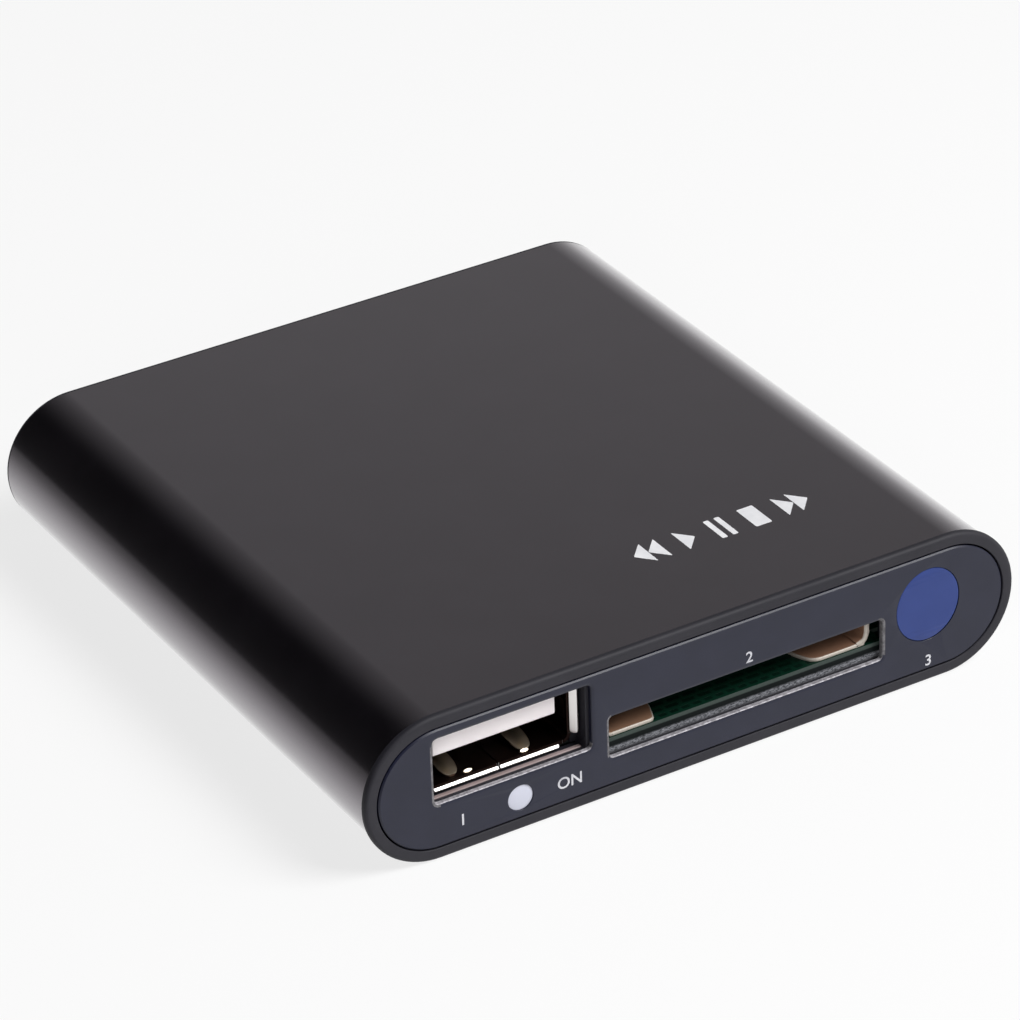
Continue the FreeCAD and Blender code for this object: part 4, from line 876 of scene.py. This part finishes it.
def usb_box():
    """The shell's flat walls with their spring slots, its four bends and its back."""
    x0, x1 = USB_X - USB_HALF_WIDTH, USB_X + USB_HALF_WIDTH
    h0, h1, bend = USB_H - USB_HALF_HEIGHT, USB_H + USB_HALF_HEIGHT, 0.4
    slots = [rectangle((USB_X + step - 1.0, USB_X + step + 1.0, 5.2, 9.4), 0.3) for step in USB_SPRINGS]
    side_slot = rectangle((1.8, 9.4, USB_H - 1.2, USB_H + 1.2), 0.3)

    def wall_of(limits, radius, openings, base, lie):
        return block(limits, radius, [(0.0, base), (0.0, base + SHEET)], lie, openings)

    shapes = []
    for a0, a1, base, openings in ((x0 + bend, USB_X - SEAM, h0 - SHEET, slots[:1]),
                                   (USB_X + SEAM, x1 - bend, h0 - SHEET, slots[1:]),
                                   (x0 + bend, x1 - bend, h1, slots)):
        shapes.append(wall_of((a0, a1, USB_MOUTH, USB_BACK), 0.1, openings, base, lying))
    for base in (x0 - SHEET, x1):
        limits = (USB_MOUTH, USB_BACK, h0 + bend, h1 - bend)
        shapes.append(wall_of(limits, 0.1, [side_slot], base, standing))
    run = [(0.0, USB_MOUTH), (0.0, USB_BACK)]
    a0, a1, b0, b1 = x0 + bend, x1 - bend, h0 + bend, h1 - bend
    for quarter, (a, b) in enumerate([(a1, b1), (a0, b1), (a0, b0), (a1, b0)]):
        shapes.append(quarter_bend(a, b, quarter, bend, bend + SHEET, run, facing_front))
    shapes.append(wall_of((x0, x1, h0, h1), bend, [], USB_BACK - SHEET, facing_front))
    return shapes


def usb_legs():
    """Tabs from the side walls down through the board."""
    legs = []
    for d in (5.4, 11.6):
        limits = (d - 0.75, d + 0.75, BOARD_BOTTOM - 0.5, USB_H)
        for wall in (USB_X - USB_HALF_WIDTH - SHEET, USB_X + USB_HALF_WIDTH):
            edge = rounding(wall, wall + SHEET, 0.03, 0.03, 2)
            legs.append(block(limits, (0.35, 0.35, 0.05, 0.05), edge, standing))
    return legs


def usb_socket():
    """Folded shell: slotted walls, slanted lips, six contact springs and four legs."""
    floor, roof = USB_H - USB_HALF_HEIGHT, USB_H + USB_HALF_HEIGHT
    shapes = usb_box() + usb_lips() + usb_legs()
    for step in USB_SPRINGS:
        shapes.append(usb_flat_spring(USB_X + step, roof + 0.11, -1, 0.62))
    for side in (-1, 1):
        shapes.append(usb_side_spring(USB_X + side * (USB_HALF_WIDTH + 0.11), -side, 0.4))
    piece = new_piece("usb_pressed_shell", shapes, USB_METAL)
    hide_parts("usb_shell")
    shapes = [usb_flat_spring(USB_X + step, floor - 0.02, 1, 0.6) for step in USB_SPRINGS]
    bead = [(0.07, -0.09), (0.02, -0.05), (0.0, 0.0), (0.0, 0.12)]
    front_up = leaning((0, 1.95, floor + 0.1), (1, 0, 0), (0, -1, -1))
    for step in (-2.55, 2.5):
        shapes.append(plate_of(oval(USB_X + step, 0.0, 0.42, 0.2, 24), [], bead, front_up))
    new_piece("usb_floor_springs", shapes, USB_SPRING)


# ------------------------------------------------------------------ card socket
def card_floor_outline():
    """Plan of the shell's floor, with the wedge-shaped notch in its front."""
    corners = [(-7.75, CARD_FRONT), (-3.62, CARD_FRONT), (-2.85, 3.0), (-2.85, 7.2), (10.3, 7.2)]
    corners += [(10.3, 3.0), (11.22, CARD_FRONT), (16.2, CARD_FRONT), (16.2, CARD_BAY)]
    corners += [(20.3, CARD_BAY), (20.3, CARD_BACK), (-7.75, CARD_BACK)]
    radii = [0.2, 0.45, 0.5, 0.5, 0.5, 0.8, 0.9, 0.2, 0.25, 0.25, 0.25, 0.25]
    return rounded(corners, radii, 7)


def card_walls():
    """Side walls: sheet bent up from the floor, whose (x, h) section is carried along the socket."""
    walls = []
    base, top = BOARD_TOP + SHEET / 2 + 0.01, 1.5
    for x, turn, d0, d1, bend, thick in ((-8.05, 1, CARD_FRONT, CARD_BACK, 0.5, SHEET),
                                         (16.4, -1, CARD_FRONT, CARD_BAY, 0.9, 0.55),
                                         (20.45, -1, CARD_BAY, CARD_BACK, 0.5, SHEET)):
        points = [(x + turn * (bend + 0.1), base), (x + turn * bend, base)]
        points += [(x + turn * bend * 0.3, base + bend * 0.3), (x, base + bend), (x, base + bend + 0.1)]
        points += [(x, (base + top) / 2), (x, top)]
        path = bent_path(points, (d0 + d1) / 2, (0, 2, 1))
        walls.append(ribbon(path, (0, 1, 0), d1 - d0, thick, 0.4))
    return walls


def card_shell():
    """Pressed shell of the card socket: floor with its notch and window, and the bent-up walls."""
    edge = rounding(BOARD_TOP + 0.01, BOARD_TOP + SHEET, 0.03, 0.14)
    floor = plate_of(card_floor_outline(), [rectangle((-4.0, 11.0, 10.0, 24.0), 0.8)], edge, lying)
    piece = new_piece("card_socket_pressing", [floor], CARD_METAL)
    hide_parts("card_socket_shell")
    new_piece("card_socket_walls", card_walls(), CARD_WALL_METAL)


def board_rest():
    """Strip of laminate under the board's front edge, between it and the bezel's web."""
    strip = block((-8.9, 18.0, BOARD_FRONT, WEB_BACK), 0.1,
                  rounding(BOARD_BOTTOM - 0.29, BOARD_BOTTOM, 0.02, 0.02), lying)
    new_piece("board_front_rest", [strip], BOARD)


def coil():
    """Ejector spring: a round wire carried along a helix whose end turns lie close together."""
    turns, per_turn, round_wire, radius, wire = 8, 28, 8, 0.68, 0.12
    share = np.linspace(0, 1, turns * per_turn + 1)
    around = 2 * np.pi * turns * share
    rest = wire + 0.01
    closing = share - 0.035 * np.sin(2 * np.pi * share)
    d = SPRING_FRONT + rest + (SPRING_LENGTH - 2 * rest) * closing
    outwards = np.stack([np.cos(around), np.zeros_like(around), np.sin(around)], -1)
    centre = np.stack([np.full_like(d, SPRING_X), d, np.full_like(d, SPRING_H)], -1) + radius * outwards
    side = np.arange(round_wire)[:, None] * 2 * np.pi / round_wire
    section = wire * (np.cos(side) * outwards[:, None] + np.sin(side) * (0, 1, 0))
    points = at(*(centre[:, None] + section).reshape(-1, 3).T)
    wound = capped(points, len(share), round_wire)
    piece = new_piece("ejector_coil", [wound], SPRING_STEEL)
    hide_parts("slider_spring")
    anchor = at(SPRING_X, SPRING_FRONT + SPRING_LENGTH, SPRING_H).tolist()
    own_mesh(piece)


# ------------------------------------------------------------------ small parts of the ends
def lamp_lens():
    """Light pipe: a round pin whose front is slightly domed, a tenth of a millimetre over its width."""
    share = np.linspace(0.04, 1, 7)
    reach = LAMP_RADIUS - 0.02
    dome = [(reach * step, 0.02 + 0.1 * step ** 2.4) for step in share]
    profile = [*dome, (reach, 2.47), (reach - 0.04, 2.5)]
    pin = turned(profile, (LAMP_X, LAMP_H), facing_front, 40)
    piece = new_piece("lamp_lens", [pin], LENS)
    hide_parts("lamp_light_pipe")


def filter_disc():
    """Blue filter: an oval disc with a softly broken edge, level with the plate."""
    outline = oval(IR_X, IR_H, IR_HALF_WIDTH - 0.02, IR_HALF_HEIGHT - 0.02, 64)
    edge = [(0.12, 0.04), (0.04, 0.06), (0.0, 0.13), (0.0, 0.96), (0.06, 1.0)]
    piece = new_piece("filter_disc", [plate_of(outline, [], edge, facing_front)], BLUE)
    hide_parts("ir_window")


def screw(x):
    """Countersunk screw: a closed turned blank, whose thread is a ridge wound round the shank."""
    rows = [(0.02, 0.36), (0.30, 0.30), (0.62, 0.06), (1.36, 0.03), (1.46, 0.06), (1.47, 0.12)]
    rows += [(SCREW_RADIUS * 0.9, 0.72), (SCREW_RADIUS * 0.9, 0.9)]
    depth = np.arange(0.95, SCREW_LENGTH - 0.5, 0.07)
    rows += [(SCREW_RADIUS * 0.9, d) for d in depth] + [(0.45, SCREW_LENGTH - 0.2), (0.1, SCREW_LENGTH)]
    count, thread_pitch, recess_depth = 48, 0.42, 0.62
    turn = np.arange(count) * 2 * np.pi / count
    rows = np.array(rows)
    radius, depth = (np.repeat(rows[:, [k]], count, axis=1) for k in (0, 1))
    threaded = (rows[:, 1] > 0.93) & (rows[:, 1] < SCREW_LENGTH - 0.45)
    radius += threaded[:, None] * SCREW_RADIUS * 0.1 * np.cos(2 * np.pi * depth / thread_pitch - turn)
    recess = (rows[:, 1] < 0.5) & (rows[:, 0] < 0.7)
    arms = np.cos(2 * turn) ** 8
    sink = recess_depth * arms * np.clip((1.0 - rows[:, :1]) / 0.4, 0, 1)
    depth = depth + (rows[:, :1] < 1.0) * (rows[:, 1:] < 0.5) * (sink - recess[:, None] * 0.3 * (1 - arms))
    a, b = -x + radius * np.cos(turn), SCREW_H + radius * np.sin(turn)
    return capped(facing_rear(a.ravel(), b.ravel(), np.maximum(depth, 0.03).ravel()), len(rows), count)


def end_screws():
    shapes = [screw(side * SCREW_X) for side in (-1, 1)]
    piece = new_piece("cross_head_screws", shapes, BLACK_STEEL)
    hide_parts("rear_screws")


def legend(text, x, h, size):
    """A short generic mark on the front plate, its middle at (x, h), as a hair's thickness of print."""
    font = bpy.data.curves.new("legend_" + text, "FONT")
    font.body, font.size, font.offset = text, size * MM, 0.015 * MM
    font.align_x, font.align_y = "CENTER", "CENTER"
    font.extrude, font.resolution_u = 0.003 * MM, 4
    holder = placed("legend_curve", font)
    mesh = bpy.data.meshes.new_from_object(holder)
    bpy.data.objects.remove(holder)
    upright = Matrix.Rotation(math.pi / 2, 4, "X")
    mesh.transform(Matrix.Translation(Vector(at(x, PLATE_FACE - 0.001, h))) @ upright)
    mesh.materials.clear()
    mesh.materials.append(LEGEND)
    piece = placed("legend_" + text, mesh)
    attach(piece, "player")


def control_signs():
    """Outlines of the usual player signs in cells one unit wide: back, play, pause, stop and forward."""
    def wedge(x, way):
        return np.array([(x, 0.0), (x + way * 0.8, 0.5), (x, 1.0)])[::way]

    def bar(x, width):
        return np.array([(x, 0.0), (x + width, 0.0), (x + width, 1.0), (x, 1.0)])

    return [wedge(0.8, -1), wedge(1.6, -1), wedge(2.6, 1), bar(4.4, 0.3), bar(5.0, 0.3), bar(6.3, 0.9),
            wedge(8.2, 1), wedge(9.0, 1)]


def top_print():
    """A row of player signs printed on the top, each a thin closed plate."""
    x0, d0, length, size = 1.4, 10.1, 16.5, 3.0
    scale = length / 9.8
    top = HEIGHT / 2 - RIM_PROUD
    edge = [(0.0, top + 0.008), (0.0, top - 0.01)]
    shapes = []
    for sign in control_signs():
        outline = rounded(sign * (scale, size) + (x0, d0), 0.12, 3)
        shapes.append(plate_of(outline, [], edge, lying))
    new_piece("top_print", shapes, PRINT)


sleeve()
lamp_lens()
filter_disc()
end_screws()
top_print()
for text, x, h, size in (("1", -21.6, -3.6, 1.45), ("ON", -12.0, -3.6, 1.45),
                         ("2", 4.6, 1.8, 1.4), ("3", 21.7, -4.5, 1.4)):
    legend(text, x, h, size)
front_moulding()
rear_moulding()
face_plates()
usb_socket()
usb_tongue()
card_shell()
board_rest()
coil()


# ------------------------------------------------------------------ stage
def add_camera():
    """The camera looks at the player from the stated angles, then moves sideways and up."""
    data = bpy.data.cameras.new("camera")
    data.sensor_width, data.lens = 36.0, 179.675
    data.clip_start, data.clip_end = 0.02, 30.0
    camera = placed("camera", data)
    azimuth, elevation, tilt = np.radians([-30.278, 30.598, -1.947])
    distance, sideways, upwards = 418.03 * MM, 1.028 * MM, 1.496 * MM
    level = math.cos(elevation)
    back = Vector((math.sin(azimuth) * level, -math.cos(azimuth) * level, math.sin(elevation)))
    right = (-back).cross(Vector((0, 0, 1))).normalized()
    up = right.cross(-back)
    side = math.cos(tilt) * right + math.sin(tilt) * up
    top = math.cos(tilt) * up - math.sin(tilt) * right
    matrix = Matrix((side, top, back)).transposed().to_4x4()
    target = Vector((0, FRONT + 30.47 * MM, MIDDLE))
    matrix.translation = target + back * distance + side * sideways + top * upwards
    camera.matrix_world = matrix
    bpy.context.scene.camera = camera


def add_floor():
    """White floor: paper that takes the shadow, mixed with plain white for the rays that only look at it.

    In reflections its white fades to the left with exp((x + 33 mm) / 15 mm), as the studio does.
    """
    half, z = 6.0, cad_box[0].z - 0.00002
    mesh = bpy.data.meshes.new("floor")
    corners = [(-half, -half, z), (half, -half, z), (half, half, z), (-half, half, z)]
    mesh.from_pydata(corners, [], [(0, 1, 2, 3)])
    material = bpy.data.materials.new("floor_white")
    material.use_nodes = True
    shader = Shader(material.node_tree)
    shader.nodes.remove(shader.nodes["Principled BSDF"])
    path = shader.node("ShaderNodeLightPath").outputs
    direct = shader.math("MAXIMUM", path["Is Camera Ray"], path["Is Transmission Ray"])
    place = shader.node("ShaderNodeTexCoord").outputs["Object"]
    x = shader.node("ShaderNodeSeparateXYZ", {0: place}).outputs[0]
    step = shader.math("DIVIDE", shader.math("ADD", x, 0.033), 0.015)
    fading = shader.math("EXPONENT", shader.math("MINIMUM", step, 0.0))
    white = shader.ramp(fading, 0.0, 1.0, 0.16, 1.0, smooth=False)
    strength = shader.math("MAXIMUM", white, direct)
    paper = shader.node("ShaderNodeBsdfDiffuse", {"Color": (0.86, 0.86, 0.86)}).outputs[0]
    glow = shader.node("ShaderNodeEmission", {"Color": (1, 1, 1), "Strength": strength}).outputs[0]
    share = shader.math("MAXIMUM", shader.math("MULTIPLY", direct, 0.76),
                        shader.math("MULTIPLY", path["Is Glossy Ray"], 0.88))
    mixed = shader.node("ShaderNodeMixShader", {0: share, 1: paper, 2: glow}).outputs[0]
    shader.feed(shader.nodes["Material Output"].inputs["Surface"], mixed)
    mesh.materials.append(material)
    floor = placed("floor", mesh)


def add_world():
    """A studio that is brightest at the horizon behind on the right and fades upwards and to the left.

    The strength is (0.8 exp(-z / 0.3) + 0.1) times a step across the direction's sideways
    share, and 1 for the rays of the camera itself.
    """
    world = bpy.data.worlds.new("studio")
    world.use_nodes = True
    bpy.context.scene.world = world
    shader = Shader(world.node_tree)
    direction = shader.node("ShaderNodeTexCoord").outputs["Generated"]
    x, y, z = shader.node("ShaderNodeSeparateXYZ", {0: direction}).outputs
    squares = [shader.math("MULTIPLY", part, part) for part in (x, y)]
    level = shader.math("SQRT", shader.math("ADD", *squares))
    sideways = shader.math("DIVIDE", x, shader.math("MAXIMUM", level, 0.05))
    side = shader.ramp(sideways, -0.32, 0.46, 0.04, 1.0)
    fading = shader.math("EXPONENT", shader.math("MULTIPLY", shader.math("MAXIMUM", z, 0.0), -1 / 0.3))
    height = shader.math("ADD", shader.math("MULTIPLY", fading, 0.8), 0.1)
    camera = shader.node("ShaderNodeLightPath").outputs["Is Camera Ray"]
    steep = shader.ramp(z, 0.42, 0.58, 1.12, 0.78, smooth=False)
    light = shader.math("MULTIPLY", shader.math("MULTIPLY", side, height), steep)
    strength = shader.math("MAXIMUM", light, camera)
    shader.feed(shader.nodes["Background"].inputs["Strength"], strength)
    shader.feed(shader.nodes["Background"].inputs["Color"], (1, 1, 1))


def add_lamp(name, direction, distance, size, power):
    """A square soft box that faces the object from the stated direction."""
    data = bpy.data.lights.new(name, "AREA")
    data.size, data.energy = size, power
    lamp = placed(name, data)
    away = Vector(direction).normalized()
    lamp.location = Vector((0, 0, MIDDLE)) + away * distance
    lamp.rotation_mode = "QUATERNION"
    lamp.rotation_quaternion = away.to_track_quat("Z", "Y")
    lamp.visible_glossy = name == "key"


add_camera()
add_floor()
add_world()
add_lamp("key", (0.43, -0.51, 0.74), 0.9, 0.45, 9.0)
add_lamp("fill", (-0.55, -0.75, 0.45), 1.1, 0.5, 3.0)
bpy.context.scene.view_settings.view_transform = "Standard"
